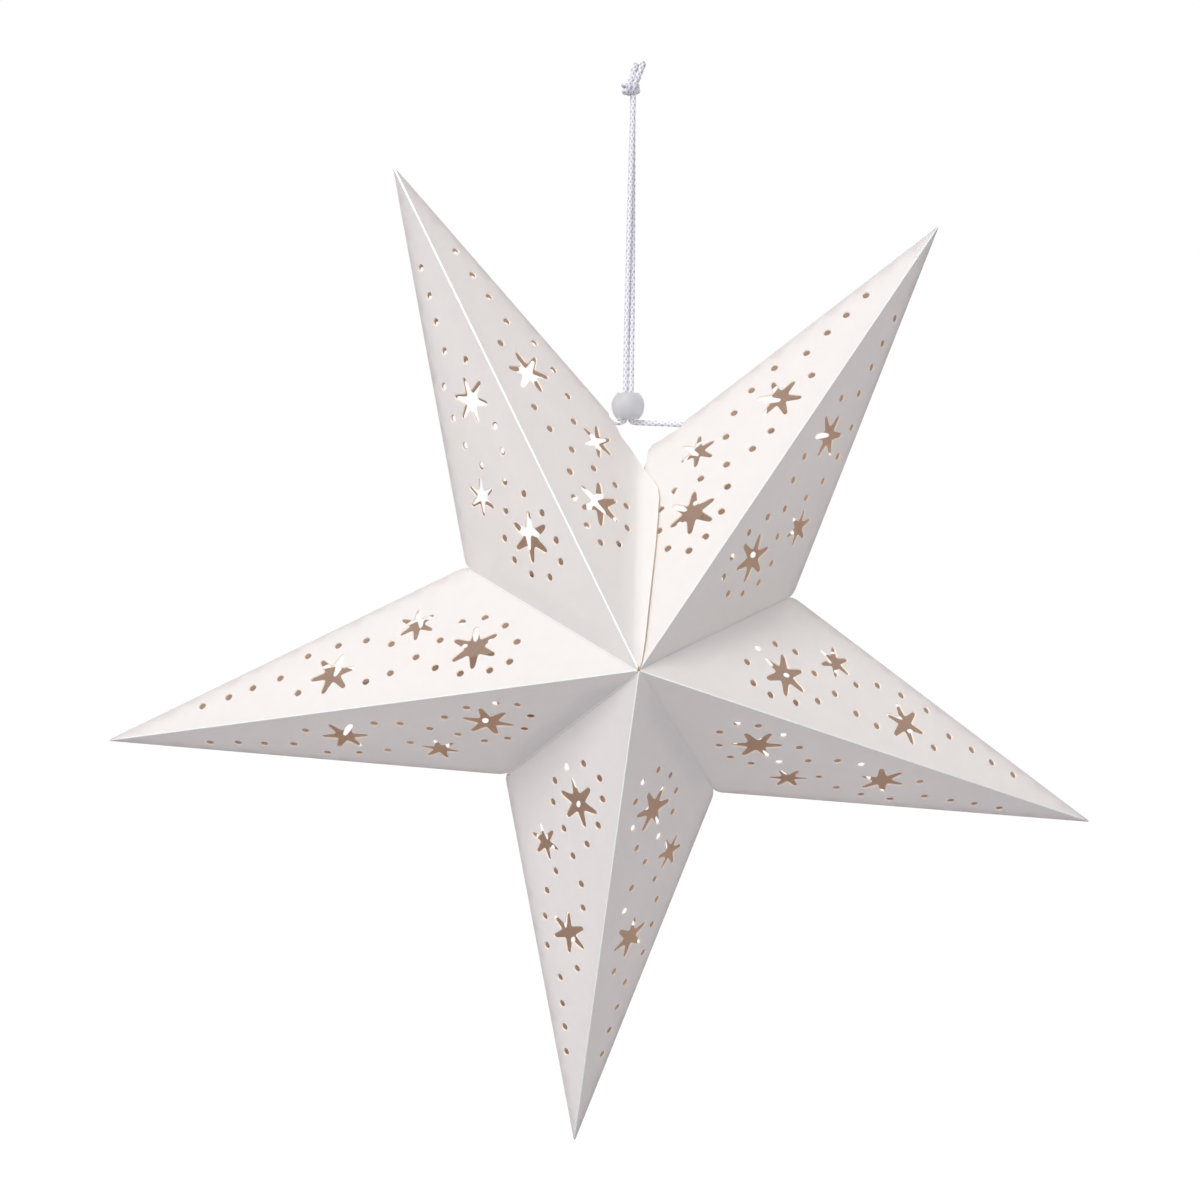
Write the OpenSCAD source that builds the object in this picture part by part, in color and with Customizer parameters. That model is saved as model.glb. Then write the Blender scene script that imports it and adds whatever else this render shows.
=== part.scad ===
// Folded card star light. Five long points of punched card, creased along every edge, hang from a
// doubled cord. A small lamp with its own batteries hangs inside the star on the same cord.
// Millimetres. Z is up, the front looks along -Y, and the cord's hanging loop is at the origin.

/* [Star] */
// Middle of the star to the end of a point
star_radius = 300; // [280:5:320]
// Middle of the star to an inner corner, as a share of star_radius
corner_share = 0.34; // [0.32:0.005:0.36]
// Half of the thickness at the middle, as a share of star_radius
depth_share = 0.32; // [0.30:0.005:0.34]
// How far the five points, laid side by side, reach past a full turn, in degrees. Point 1 laps
// over point 2 by this much.
seam_overlap = 12; // [10:0.5:14]
// Turn of the whole star on its cord, clockwise from the front, in degrees
hang_turn = 4.8; // [0:0.4:8]

/* [Card] */
// Thickness of the card
card_t = 0.4; // [0.3:0.05:0.5]
// Card edge to crease line, at the front ridges, the front valleys and the outer edges
crease_gap = 0.55; // [0.5:0.05:0.8]
// Card edge to crease line, at the back ridges and valleys
back_gap = 0.8; // [0.7:0.05:1.2]
// Width of the glued flaps inside the valleys
flap_width = 10; // [6:0.5:12]
// Widest part of the strip that laps over the open seam
lap_width = 8; // [5:0.5:8.5]
// Length that the cut at the top of the seam takes from each outer edge
notch_length = 28; // [24:1:30]
// Radius of the clearance for the cord at each corner of the cut
relief_r = 5.5; // [5:0.25:7]

/* [Pattern] */
// Diameter of the punched dots
dot_d = 4.6; // [3:0.2:6]
// Outer radius of the large punched stars
large_star_r = 14.4; // [12:0.2:15]
// Outer radius of the medium punched stars
medium_star_r = 13.4; // [11:0.2:14]
// Outer radius of the small punched stars
small_star_r = 11.1; // [9:0.2:11.5]
// Inner radius of a punched star, as a share of its outer radius
star_waist = 0.45; // [0.35:0.01:0.6]

/* [Cord and bead] */
// Diameter of one strand of the cord
cord_d = 3.1; // [2.4:0.1:3.2]
// Height of the hanging loop above the middle of the bead
cord_drop = 171.7; // [140:1:220]
// Diameter of the bead
bead_d = 18.8; // [17:0.2:20]
// Height of the bead between its two flats
bead_h = 15; // [13:0.5:16]
// Diameter of the bead's bore
bead_bore = 7.2; // [7:0.1:8]

/* [Lamp] */
// Height of the cord's lowest point above the middle of the star
lamp_rise = 52; // [48:1:58]
// Diameter of one battery cell
cell_d = 10.3; // [9.9:0.1:10.5]
// Length of one battery cell with its button
cell_l = 44; // [42:0.5:44.5]
// Wall of the battery case
case_wall = 1.6; // [1.2:0.1:2]
// Outer diameter of the globe
globe_d = 38; // [36:1:40]
// Wall of the globe
globe_wall = 1.2; // [0.8:0.1:1.6]
// Travel of the switch
switch_travel = 4; // [3:0.5:4.5]

/* [Hidden] */
$fn = 48;
front = -1;
back = 1;

// Star. The ten half points are numbered clockwise from the left half of point 2, so that
// the open seam lies between number 9 and number 0.
half_sector = (360 + seam_overlap) / 10; // middle line of a point to its inner corner
corner_radius = star_radius * corner_share;
half_depth = star_radius * depth_share;
arm_names = [2, 2, 3, 3, 4, 4, 5, 5, 1, 1];
first_angle = -90 - hang_turn + 4 * half_sector;
seam_angle = first_angle - 4 * half_sector + 180;
function tip_angle(i) = first_angle - 2 * half_sector * floor(i / 2);
function corner_angle(i) = tip_angle(i) + (i % 2 == 0 ? half_sector : -half_sector);
function at_angle(angle, radius) = [radius * cos(angle), 0, radius * sin(angle)];
function tip_of(i) = at_angle(tip_angle(i), star_radius);
function corner_of(i) = at_angle(corner_angle(i), corner_radius);
function unit(v) = v / norm(v);
function hit_seam(p, q) = p + (q - p) * ((p * at_angle(seam_angle + 90, 1))
    / ((p - q) * at_angle(seam_angle + 90, 1)));
function seam_point(i) = hit_seam(tip_of(i), corner_of(i));

// One facet: lengths of its ridge, valley and outer edge, and its angles at the middle point
// (facet_angle) and at the tip (tip_corner_angle).
ridge_l = norm([star_radius, half_depth]);
valley_l = norm([corner_radius, half_depth]);
outer_l = norm(tip_of(0) - corner_of(0));
facet_angle = acos((ridge_l ^ 2 + valley_l ^ 2 - outer_l ^ 2) / (2 * ridge_l * valley_l));
tip_corner_angle = acos((ridge_l ^ 2 + outer_l ^ 2 - valley_l ^ 2) / (2 * ridge_l * outer_l));
seam_l = norm(seam_point(0) - [0, -half_depth, 0]);
seam_edge_l = norm(seam_point(0) - tip_of(0));
seam_facet_angle = acos((ridge_l ^ 2 + seam_l ^ 2 - seam_edge_l ^ 2) / (2 * ridge_l * seam_l));

// Corners of the cut at the top of the seam, measured from the middle of the star
notch_left = seam_point(9) + unit(tip_of(9) - seam_point(9)) * notch_length;
notch_right = seam_point(0) + unit(tip_of(0) - seam_point(0)) * notch_length;
notch_share = 0.91;

// Heights of the star and the bead
bead_over_notch = 0.7;
centre_z = -(cord_drop + bead_h / 2 + bead_over_notch + (notch_left[2] + notch_right[2]) / 2);
bead_z = -cord_drop;

// Places in a facet: u runs from the middle point along the ridge, v across towards the corner.
// They are kept as shares, so that the pattern follows the facet when it is resized.
corner_u = valley_l * cos(facet_angle);
corner_v = valley_l * sin(facet_angle);
function facet_place(s, t) = [ridge_l * s + corner_u * t, corner_v * t];
// share along the ridge, share towards the corner, outer radius, turn
punched_stars = [
    [0.474, 0.271, medium_star_r, -10],
    [0.225, 0.564, small_star_r, 28],
    [0.189, 0.327, large_star_r, 29]
];
// the row to the tip, the dots between the stars, and the ring around the large star
punched_dots = [
    [0.763, 0.165], [0.699, 0.204], [0.638, 0.248], [0.571, 0.292],
    [0.573, 0.165], [0.475, 0.435], [0.401, 0.485], [0.343, 0.496], [0.437, 0.182],
    [0.311, 0.441], [0.379, 0.220], [0.302, 0.314],
    [0.296, 0.215], [0.225, 0.419], [0.147, 0.540], [0.101, 0.551], [0.089, 0.468],
    [0.110, 0.330], [0.168, 0.187], [0.218, 0.143], [0.270, 0.149]
];

// Cord
cord_r = cord_d / 2;
strand_r = cord_r + 0.05;
lamp_pivot_z = centre_z + lamp_rise;
hook_bend_r = cord_r + 1.15;

// Lamp, from the ring downwards
ring_wire_r = 0.8;
ring_r = 5.4;
ring_z = lamp_pivot_z + cord_r + 0.05 + ring_wire_r - ring_r;
lug_hole_r = 1.4;
lug_hole_z = ring_z - ring_r - 0.4;
case_top = ring_z - ring_r - ring_wire_r - 2.2;
contact_t = 0.4;
spring_l = 3.6;
cell_clear = 0.35;
cavity_h = cell_l + spring_l + 2 * contact_t + 0.2;
case_h = cavity_h + 2 * case_wall;
case_bottom = case_top - case_h;
cell_pitch = cell_d + 0.7;
cells_w = 3 * cell_d + 2 * 0.7 + 2 * cell_clear;
bay_w = 6;
divider_t = 1.2;
case_w = 2 * case_wall + cells_w + divider_t + bay_w;
case_d = cell_d + 2 * 0.55 + 2 * case_wall;
cavity_d = case_d - 2 * case_wall;
cells_x = -case_w / 2 + case_wall;
bay_x = cells_x + cells_w + divider_t;
bay_mid = bay_x + bay_w / 2;
cell_z = case_bottom + case_wall + contact_t + spring_l;
screw_z = case_top - case_wall - 4.5;
switch_z = case_top - 24;
wire_x = bay_x + 2;
wire_hole_r = 0.9;
base_r = globe_d / 2 + 1;
base_t = 3;
base_z = case_bottom - base_t;
post_h = 2;
post_x = 10.5;
board_t = 1.2;
board_r = globe_d / 2 - globe_wall - 1.8;
board_z = base_z - post_h - board_t;
globe_neck = 7;

// Moves a flat shape from the facet's own plane to its place in the star
module facet_frame(i, side) {
    middle = [0, side * half_depth, 0];
    along = unit(tip_of(i) - middle);
    to_corner = corner_of(i) - middle;
    across = unit(to_corner - along * (to_corner * along));
    up = cross(along, across);
    multmatrix([
        [along[0], across[0], up[0], middle[0]],
        [along[1], across[1], up[1], middle[1]],
        [along[2], across[2], up[2], middle[2] + centre_z],
        [0, 0, 0, 1]
    ]) children();
}

// Which way is inwards along the facet's own Z
function inward(i, side) = (i % 2 == 0 ? 1 : -1) * (side == front ? -1 : 1);

// Outline of a facet, set back from its three crease lines
function facet_outline(at_middle, ridge_gap, valley_gap, edge_gap) =
    let (reach = ridge_l * sin(tip_corner_angle) - edge_gap,
        low_x = (valley_gap + ridge_gap * cos(at_middle)) / sin(at_middle),
        tip_x = ridge_l - (edge_gap + ridge_gap * cos(tip_corner_angle)) / sin(tip_corner_angle),
        both = sin(at_middle + tip_corner_angle))
    [
        [low_x, ridge_gap],
        [tip_x, ridge_gap],
        [(valley_gap * cos(tip_corner_angle) + reach * cos(at_middle)) / both,
            (reach * sin(at_middle) - sin(tip_corner_angle) * valley_gap) / both]
    ];

// A point measured along the valley or seam line from the middle, and across into the facet
function from_valley(at_middle, along, across) = [
    along * cos(at_middle) + across * sin(at_middle),
    along * sin(at_middle) - across * cos(at_middle)
];

// Six blunt rays: the radius swells from the waist to the outer radius and back
function punched_star_outline(outer_r) = [
    for (k = [0 : 29])
        let (swell = pow((1 + cos(72 * k)) / 2, 1.4),
            radius = outer_r * (star_waist + (1 - star_waist) * swell))
        radius * [cos(12 * k), sin(12 * k)]
];

module punched_pattern() {
    for (star = punched_stars)
        translate(facet_place(star[0], star[1]))
            rotate(star[3])
                polygon(punched_star_outline(star[2]));
    for (dot = punched_dots)
        translate(facet_place(dot[0], dot[1]))
            circle(d = dot_d, $fn = 24);
}

// The cut at the top of the seam, with room for the cord at its corner
module seam_notch() {
    seam_end = from_valley(seam_facet_angle, seam_l, 0);
    edge_start = seam_end + unit([ridge_l, 0] - seam_end) * notch_length;
    outwards = [sin(tip_corner_angle), cos(tip_corner_angle)] * 20;
    polygon([
        edge_start,
        from_valley(seam_facet_angle, seam_l * notch_share, 0),
        from_valley(seam_facet_angle, seam_l * notch_share, -10),
        seam_end + outwards,
        edge_start + outwards
    ]);
    translate(edge_start) circle(r = relief_r);
}

module facet(i, side) {
    at_seam = i == 0 || i == 9;
    gap = side == front ? crease_gap : back_gap;
    at_middle = at_seam ? seam_facet_angle : facet_angle;
    translate([0, 0, -card_t / 2])
        linear_extrude(card_t)
            difference() {
                polygon(facet_outline(at_middle, gap, gap, crease_gap));
                punched_pattern();
                if (at_seam) seam_notch();
            }
}

module card(i, side) {
    color("#f2efec") facet_frame(i, side) facet(i, side);
}

// Flap of the neighbouring facet, glued to the inner face of facet i along its valley
module glue_flap(i, side) {
    start = 18;
    end = valley_l - 14;
    gap = side == front ? crease_gap : back_gap;
    color("#b08a6c")
        facet_frame(i, side)
            translate([0, 0, inward(i, side) > 0 ? card_t / 2 : -card_t * 3 / 2])
                linear_extrude(card_t)
                    polygon([
                        from_valley(facet_angle, start, gap + 0.2),
                        from_valley(facet_angle, end, gap + 0.2),
                        from_valley(facet_angle, end - flap_width, gap + flap_width),
                        from_valley(facet_angle, start + flap_width, gap + flap_width)
                    ]);
}

// Strip on the right half of point 1 that laps over the outer face of point 2 at the seam
module seam_lap(side) {
    lift = 0.2;
    start = 10;
    end = seam_l * notch_share;
    root_w = 3;
    color("#e9e5e2") {
        facet_frame(0, side)
            translate([0, 0, inward(0, side) > 0 ? -card_t * 3 / 2 - lift : card_t / 2 + lift])
                linear_extrude(card_t)
                    polygon([
                        from_valley(seam_facet_angle, start, -0.1),
                        from_valley(seam_facet_angle, end, -0.1),
                        from_valley(seam_facet_angle, seam_l * 0.83, lap_width),
                        from_valley(seam_facet_angle, start, 1)
                    ]);
        facet_frame(9, side)
            translate([0, 0, inward(9, side) > 0 ? -card_t * 3 / 2 : card_t / 2])
                linear_extrude(card_t)
                    polygon([
                        from_valley(seam_facet_angle, start, 0.1),
                        from_valley(seam_facet_angle, end, 0.1),
                        from_valley(seam_facet_angle, end - root_w, root_w),
                        from_valley(seam_facet_angle, start + root_w, root_w)
                    ]);
    }
}

// A round cord or wire along a row of points. Its rings are turned by a reference direction
// that the route never runs along.
function route_way(route, k) = unit(route[min(k + 1, len(route) - 1)] - route[max(k - 1, 0)]);
module tube(route, radius, reference = [0, 1, 0], sides = 8) {
    count = len(route);
    points = [
        for (k = [0 : count - 1])
            let (way = route_way(route, k), a = unit(cross(way, reference)), b = cross(a, way))
            for (j = [0 : sides - 1])
                route[k] + radius * (a * cos(360 * j / sides) + b * sin(360 * j / sides))
    ];
    walls = [
        for (k = [0 : count - 2], j = [0 : sides - 1])
            let (n = (j + 1) % sides, p = k * sides, q = p + sides)
            each [[p + j, q + j, q + n], [p + j, q + n, p + n]]
    ];
    caps = [
        for (j = [1 : sides - 2])
            each [[0, j, j + 1], [(count - 1) * sides, (count - 1) * sides + j + 1, (count - 1) * sides + j]]
    ];
    polyhedron(points = points, faces = concat(walls, caps));
}

// Extra points on a smooth curve through a row of points
function bend(p, q, r, s, t) = 0.5 * (2 * q + (r - p) * t + (2 * p - 5 * q + 4 * r - s) * t ^ 2
    + (3 * q - p - 3 * r + s) * t ^ 3);
function smooth(row, parts) = concat([
    for (k = [0 : len(row) - 2], j = [0 : parts - 1])
        bend(row[max(k - 1, 0)], row[k], row[k + 1], row[min(k + 2, len(row) - 1)], j / parts)
], [row[len(row) - 1]]);

// One strand of the doubled cord. It starts under the knot, makes a slow quarter twist,
// runs through the bead and turns out to its corner of the cut. hand is -1 left, 1 right.
twist_end = bead_z + bead_h / 2 + 3;
below_bead = bead_z - bead_h / 2;
function strand(hand, corner) = concat(
    [for (k = [0 : 18])
        let (share = k / 18, angle = 90 - 90 * share)
        [hand * strand_r * cos(angle), hand * strand_r * sin(angle), 0.9 + (twist_end - 0.9) * share]],
    smooth([
        [hand * strand_r, 0, twist_end - 4],
        [hand * strand_r, 0, below_bead + 1.5],
        [hand * (strand_r + 0.05), 0, below_bead + 0.2],
        [hand * (strand_r + 0.9), 0, below_bead - 1.35],
        out_of_bead(hand),
        out_of_bead(hand) * 0.65 + at_corner(hand, corner) * 0.35,
        out_of_bead(hand) * 0.2 + at_corner(hand, corner) * 0.8,
        at_corner(hand, corner)
    ], 3),
    [way_in(hand, corner)]
);
// Where a strand crosses its corner: below the bead, and inside the clearance in the cards
function pass_height(corner) = min(corner[2] - 0.2, below_bead - cord_r - 0.65);
function out_of_bead(hand) = [hand * (strand_r + 2.8), 0, below_bead - cord_r - 0.35];
function at_corner(hand, corner) = [corner[0] - hand * 0.4, 0, pass_height(corner)];
function way_in(hand, corner) = [corner[0] + hand * 0.5, 0, pass_height(corner) - 1.3];
corner_left = notch_left + [0, 0, centre_z];
corner_right = notch_right + [0, 0, centre_z];

// The cord inside the star, from one corner down under the lamp's ring and up to the other
function inner_leg(hand, corner) = [
    way_in(hand, corner) + [hand * 0.45, 0, -0.65],
    way_in(hand, corner) + [hand * 0.75, 0, -2.6],
    way_in(hand, corner) + [hand * 0.5, 0, -6],
    corner * 0.8 + [hand * hook_bend_r, 0, lamp_pivot_z + hook_bend_r + 8] * 0.2,
    corner * 0.5 + [hand * hook_bend_r, 0, lamp_pivot_z + hook_bend_r + 8] * 0.5,
    [hand * (hook_bend_r + 0.6), 0, lamp_pivot_z + hook_bend_r + 8],
    [hand * hook_bend_r, 0, lamp_pivot_z + hook_bend_r + 2]
];
function reversed(row) = [for (k = [len(row) - 1 : -1 : 0]) row[k]];

module cord_strand(hand, corner) {
    color("#f4f3f1") tube(strand(hand, corner), cord_r);
}

module cord_inner() {
    under_ring = [
        for (k = [0 : 8])
            [0, 0, lamp_pivot_z + hook_bend_r]
                + hook_bend_r * [-cos(180 * k / 8), 0, -sin(180 * k / 8)]
    ];
    color("#f4f3f1")
        tube(concat([way_in(-1, corner_left)], smooth(inner_leg(-1, corner_left), 3), under_ring,
            reversed(smooth(inner_leg(1, corner_right), 3)), [way_in(1, corner_right)]), cord_r);
}

module loop_of_cord(radius, tilt, turn, height) {
    translate([0, 0, height])
        rotate([0, 0, turn])
            rotate([tilt, 0, 0])
                rotate_extrude()
                    translate([radius, 0]) circle(r = cord_r, $fn = 24);
}

// Overhand knot of the doubled cord, drawn tight
module cord_knot() {
    color("#f4f3f1") {
        loop_of_cord(cord_r + 2.2, 8, 0, 1.2 + cord_r + 1);
        loop_of_cord(cord_r + 2.3, -14, 60, 1.2 + cord_r * 3);
        loop_of_cord(cord_r + 2.1, 4, 140, 1.2 + cord_r * 5 - 1);
        translate([0, 0, 1.2]) cylinder(r = cord_r + 1.4, h = cord_r * 6 - 0.6);
    }
}

module cord_tails() {
    top = 1.2 + cord_r * 6 - 0.6 + 0.05;
    color("#f4f3f1") {
        tube(concat([[-1.5, 0, top]],
            smooth([[-1.5, 0, top + 0.6], [-1.4, 0, top + 2], [-0.2, 0, top + 4.6], [1.9, 0, top + 7.4]], 3)), cord_r);
        tube(concat([[1.7, 0, top]],
            smooth([[1.7, 0, top + 0.6], [2.1, 0, top + 2], [4, 0, top + 4.8], [6.4, 0, top + 7.8]], 3)), cord_r);
    }
}

module bead() {
    color("#c6c6c9")
        translate([0, 0, bead_z])
            difference() {
                intersection() {
                    sphere(d = bead_d, $fn = 64);
                    cylinder(d = bead_d + 2, h = bead_h, center = true);
                }
                cylinder(d = bead_bore, h = bead_h + 2, center = true);
            }
}

module lamp_ring() {
    color("#c8c8c8")
        translate([0, 0, ring_z])
            rotate([0, 90, 0])
                rotate_extrude()
                    translate([ring_r, 0]) circle(r = ring_wire_r, $fn = 24);
}

module block(x0, x1, y0, y1, z0, z1) {
    translate([x0, y0, z0]) cube([x1 - x0, y1 - y0, z1 - z0]);
}

module battery_case() {
    mid_y = case_d / 2 - case_wall;
    color("#e6dccb")
        difference() {
            union() {
                block(-case_w / 2, case_w / 2, -case_d / 2, mid_y, case_bottom, case_top);
                block(-3, 3, -1.2, 1.2, case_top - 0.5, lug_hole_z + lug_hole_r + 1.3);
            }
            block(cells_x, cells_x + cells_w, -mid_y, mid_y + 1, case_bottom + case_wall, case_top - case_wall);
            difference() {
                block(bay_x, bay_x + bay_w, -mid_y, mid_y + 1, case_bottom + case_wall, case_top - case_wall);
                translate([bay_mid, 0, screw_z])
                    rotate([90, 0, 0]) cylinder(r = 2.6, h = case_d, center = true);
            }
            translate([bay_mid, mid_y + 1, screw_z])
                rotate([90, 0, 0]) cylinder(r = 1.3, h = 9);
            translate([0, 0, lug_hole_z])
                rotate([90, 0, 0]) cylinder(r = lug_hole_r, h = 6, center = true);
            block(case_w / 2 - case_wall - 1, case_w / 2 + 1, -1.9, 1.9,
                switch_z - 2.3, switch_z + 2.3 + switch_travel);
            for (y = [-2, 2])
                translate([wire_x, y, case_bottom - 1]) cylinder(r = wire_hole_r, h = case_wall + 2);
            for (x = [-post_x, post_x])
                translate([x, 0, case_bottom - 1]) cylinder(r = 1.1, h = case_wall + 2);
        }
}

module battery_cover() {
    color("#e6dccb")
        difference() {
            block(-case_w / 2, case_w / 2, case_d / 2 - case_wall, case_d / 2, case_bottom, case_top);
            translate([bay_mid, case_d / 2 + 1, screw_z])
                rotate([90, 0, 0]) cylinder(r = 1.4, h = case_wall + 2);
            translate([bay_mid, case_d / 2 + 0.01, screw_z])
                rotate([90, 0, 0]) cylinder(r1 = 2.5, r2 = 1.4, h = 1.1);
        }
}

module cover_screw() {
    color("#9a9a9e")
        translate([bay_mid, case_d / 2 - 0.05, screw_z])
            rotate([90, 0, 0]) {
                difference() {
                    cylinder(r1 = 2.35, r2 = 1.25, h = 1.1);
                    for (turn = [0, 90])
                        rotate(turn) translate([-1.3, -0.25, -0.1]) cube([2.6, 0.5, 0.6]);
                }
                translate([0, 0, 1]) cylinder(r = 1.2, h = 7);
            }
}

function cell_x(k) = cells_x + cell_clear + cell_d / 2 + cell_pitch * (k - 1);
function button_up(k) = k != 2;

// The middle cell stands the other way up, so that the three are joined in a row
module cell(k) {
    body_l = cell_l - 1;
    bottom = button_up(k) ? cell_z : cell_z - spring_l + 1;
    color(k == 2 ? "#3f6f8f" : "#4a7a58")
        translate([cell_x(k), 0, bottom])
            cylinder(d = cell_d, h = body_l);
    color("#c8c8c8")
        translate([cell_x(k), 0, button_up(k) ? bottom + body_l - 0.5 : bottom - 1])
            cylinder(r = 1.9, h = 1.5);
}

// One coil spring for each cell's flat end
module contact_springs() {
    color("#c8c8c8")
        for (k = [1 : 3])
            translate([cell_x(k), 0, button_up(k) ? cell_z - spring_l : cell_z - spring_l + cell_l])
                tube([
                    for (j = [0 : 42])
                        let (share = button_up(k) ? j / 42 : 1 - j / 42, radius = 3.6 - 1.6 * share)
                        [radius * cos(j * 30), radius * sin(j * 30), 0.4 + (spring_l - 0.8) * j / 42]
                ], 0.33, [0, 0, 1], 6);
}

module contact_plates() {
    low = case_bottom + case_wall;
    high = case_top - case_wall - contact_t;
    half = cell_d / 2 - 0.4;
    color("#d0c9a8") {
        block(cell_x(1) - half, cell_x(2) + half, -4, 4, low, low + contact_t);
        block(cell_x(3) - half + 0.6, cell_x(3) + half, -4, 4, low, low + contact_t);
        block(cell_x(2) - half, cell_x(3) + half, -4, 4, high, high + contact_t);
        block(cell_x(1) - half, cell_x(1) + half - 0.6, -4, 4, high, high + contact_t);
    }
}

module switch_body() {
    color("#3a3a3c")
        difference() {
            block(bay_x + 0.4, bay_x + bay_w - 0.3, -4, 4, switch_z - 5, switch_z + 5 + switch_travel);
            block(bay_x + bay_w - 3, bay_x + bay_w + 1, -1.9, 1.9,
                switch_z - 2.3, switch_z + 2.3 + switch_travel);
        }
}

module switch_slider() {
    color("#2a2a2c") {
        block(bay_x + bay_w - 2.6, case_w / 2 + 0.4, -1.6, 1.6, switch_z - 2, switch_z + 2);
        block(case_w / 2 + 0.3, case_w / 2 + 1.8, -2.3, 2.3, switch_z - 2.6, switch_z + 2.6);
    }
}

module lamp_base() {
    color("#e6dccb")
        difference() {
            union() {
                translate([0, 0, base_z]) cylinder(r = base_r, h = base_t, $fn = 64);
                for (x = [-post_x, post_x])
                    translate([x, 0, base_z - post_h]) cylinder(r = 2.4, h = post_h + 0.5);
            }
            for (y = [-2, 2])
                translate([wire_x, y, base_z - 1]) cylinder(r = wire_hole_r, h = base_t + 2);
            for (x = [-post_x, post_x])
                translate([x, 0, base_z - post_h - 1]) cylinder(r = 1.1, h = base_t + post_h + 2);
        }
}

module led_board() {
    color("#f0f0ec")
        translate([0, 0, board_z])
            difference() {
                cylinder(r = board_r, h = board_t, $fn = 64);
                for (x = [-post_x, post_x])
                    translate([x, 0, -1]) cylinder(r = 1.2, h = board_t + 2);
            }
}

module leds() {
    color("#f2d98a")
        for (k = [0 : 5])
            rotate(60 * k + 30)
                block(6.4, 9.9, -1.4, 1.4, board_z - 1, board_z);
}

module board_chip() {
    color("#2a2a2c") block(-2.5, 2.5, -2, 2, board_z - 1.4, board_z);
}

// The two screws hold the board and the base to the bottom of the battery case
module board_screws() {
    color("#9a9a9e")
        for (x = [-post_x, post_x])
            translate([x, 0, board_z - 1.2]) {
                difference() {
                    cylinder(r = 2, h = 1.2);
                    for (turn = [0, 90])
                        rotate(turn) translate([-1.2, -0.25, -0.1]) cube([2.4, 0.5, 0.6]);
                }
                translate([0, 0, 1]) cylinder(r = 1, h = 0.2 + board_t + post_h + base_t + case_wall - 0.3);
            }
}

module lamp_wires() {
    color("#c23a34") wire(-2);
    color("#2e2e30") wire(2);
}

module wire(y) {
    tube(smooth([
        [wire_x, y, switch_z - 5.3],
        [wire_x, y, case_bottom + 12],
        [wire_x, y, case_bottom],
        [wire_x, y, base_z + 0.4],
        [wire_x - 0.5, y, base_z - 0.7],
        [board_r - 1.2, y, board_z + board_t + 0.75],
        [board_r - 3.4, y, board_z + board_t + 0.6]
    ], 3), 0.5);
}

module globe() {
    outer = globe_d / 2;
    inner = outer - globe_wall;
    color("#f6f2e6")
        translate([0, 0, base_z - globe_neck])
            difference() {
                union() {
                    sphere(r = outer, $fn = 64);
                    cylinder(r = outer, h = globe_neck, $fn = 64);
                }
                sphere(r = inner, $fn = 64);
                cylinder(r = inner, h = globe_neck + 1, $fn = 64);
                translate([0, 0, globe_neck]) cylinder(r = outer + 5, h = outer + 5);
            }
}

card(0, front);  // arm_2_front_left
card(1, front);  // arm_2_front_right
card(2, front);  // arm_3_front_left
card(3, front);  // arm_3_front_right
card(4, front);  // arm_4_front_left
card(5, front);  // arm_4_front_right
card(6, front);  // arm_5_front_left
card(7, front);  // arm_5_front_right
card(8, front);  // arm_1_front_left
card(9, front);  // arm_1_front_right
card(0, back);  // arm_2_back_left
card(1, back);  // arm_2_back_right
card(2, back);  // arm_3_back_left
card(3, back);  // arm_3_back_right
card(4, back);  // arm_4_back_left
card(5, back);  // arm_4_back_right
card(6, back);  // arm_5_back_left
card(7, back);  // arm_5_back_right
card(8, back);  // arm_1_back_left
card(9, back);  // arm_1_back_right
glue_flap(2, front);  // glue_flap_front_2_3
glue_flap(4, front);  // glue_flap_front_3_4
glue_flap(6, front);  // glue_flap_front_4_5
glue_flap(8, front);  // glue_flap_front_5_1
glue_flap(2, back);  // glue_flap_back_2_3
glue_flap(4, back);  // glue_flap_back_3_4
glue_flap(6, back);  // glue_flap_back_4_5
glue_flap(8, back);  // glue_flap_back_5_1
seam_lap(front);  // seam_lap_front
seam_lap(back);  // seam_lap_back
cord_strand(-1, corner_left);  // cord_left
cord_strand(1, corner_right);  // cord_right
cord_inner();
cord_knot();
cord_tails();
bead();
lamp_ring();
battery_case();
battery_cover();
cover_screw();
cell(1);  // cell_1
cell(2);  // cell_2
cell(3);  // cell_3
contact_springs();
contact_plates();
switch_body();
switch_slider();
lamp_base();
led_board();
leds();
board_chip();
board_screws();
lamp_wires();
globe();
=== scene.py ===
"""Folded card star light, dressed for rendering.

Five long points of punched white card, painted warm brown inside for the light within the star, hang on a
doubled braided cord with a frosted bead. Lengths are worked out in millimetres and turned to metres when
a mesh is made. Z is up and the front looks along -Y.
"""

import bpy
import numpy as np
from mathutils import Matrix, Quaternion, Vector
from mathutils.geometry import delaunay_2d_cdt


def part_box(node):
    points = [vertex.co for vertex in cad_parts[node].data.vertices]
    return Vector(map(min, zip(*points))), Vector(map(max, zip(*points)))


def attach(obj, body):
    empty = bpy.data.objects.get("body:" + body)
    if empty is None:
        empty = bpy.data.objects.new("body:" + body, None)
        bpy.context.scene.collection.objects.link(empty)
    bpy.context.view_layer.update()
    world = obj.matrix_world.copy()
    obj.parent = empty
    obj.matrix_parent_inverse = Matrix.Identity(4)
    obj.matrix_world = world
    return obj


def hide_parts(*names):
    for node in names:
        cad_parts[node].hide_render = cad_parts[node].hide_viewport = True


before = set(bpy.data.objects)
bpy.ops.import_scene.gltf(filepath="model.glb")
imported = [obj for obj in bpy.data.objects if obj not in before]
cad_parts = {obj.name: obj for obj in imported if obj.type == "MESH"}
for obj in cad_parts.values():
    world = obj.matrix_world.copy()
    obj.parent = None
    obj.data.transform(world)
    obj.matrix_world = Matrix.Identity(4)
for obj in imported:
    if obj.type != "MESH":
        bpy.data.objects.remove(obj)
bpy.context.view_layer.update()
MM = 0.001


# Small helpers

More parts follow.
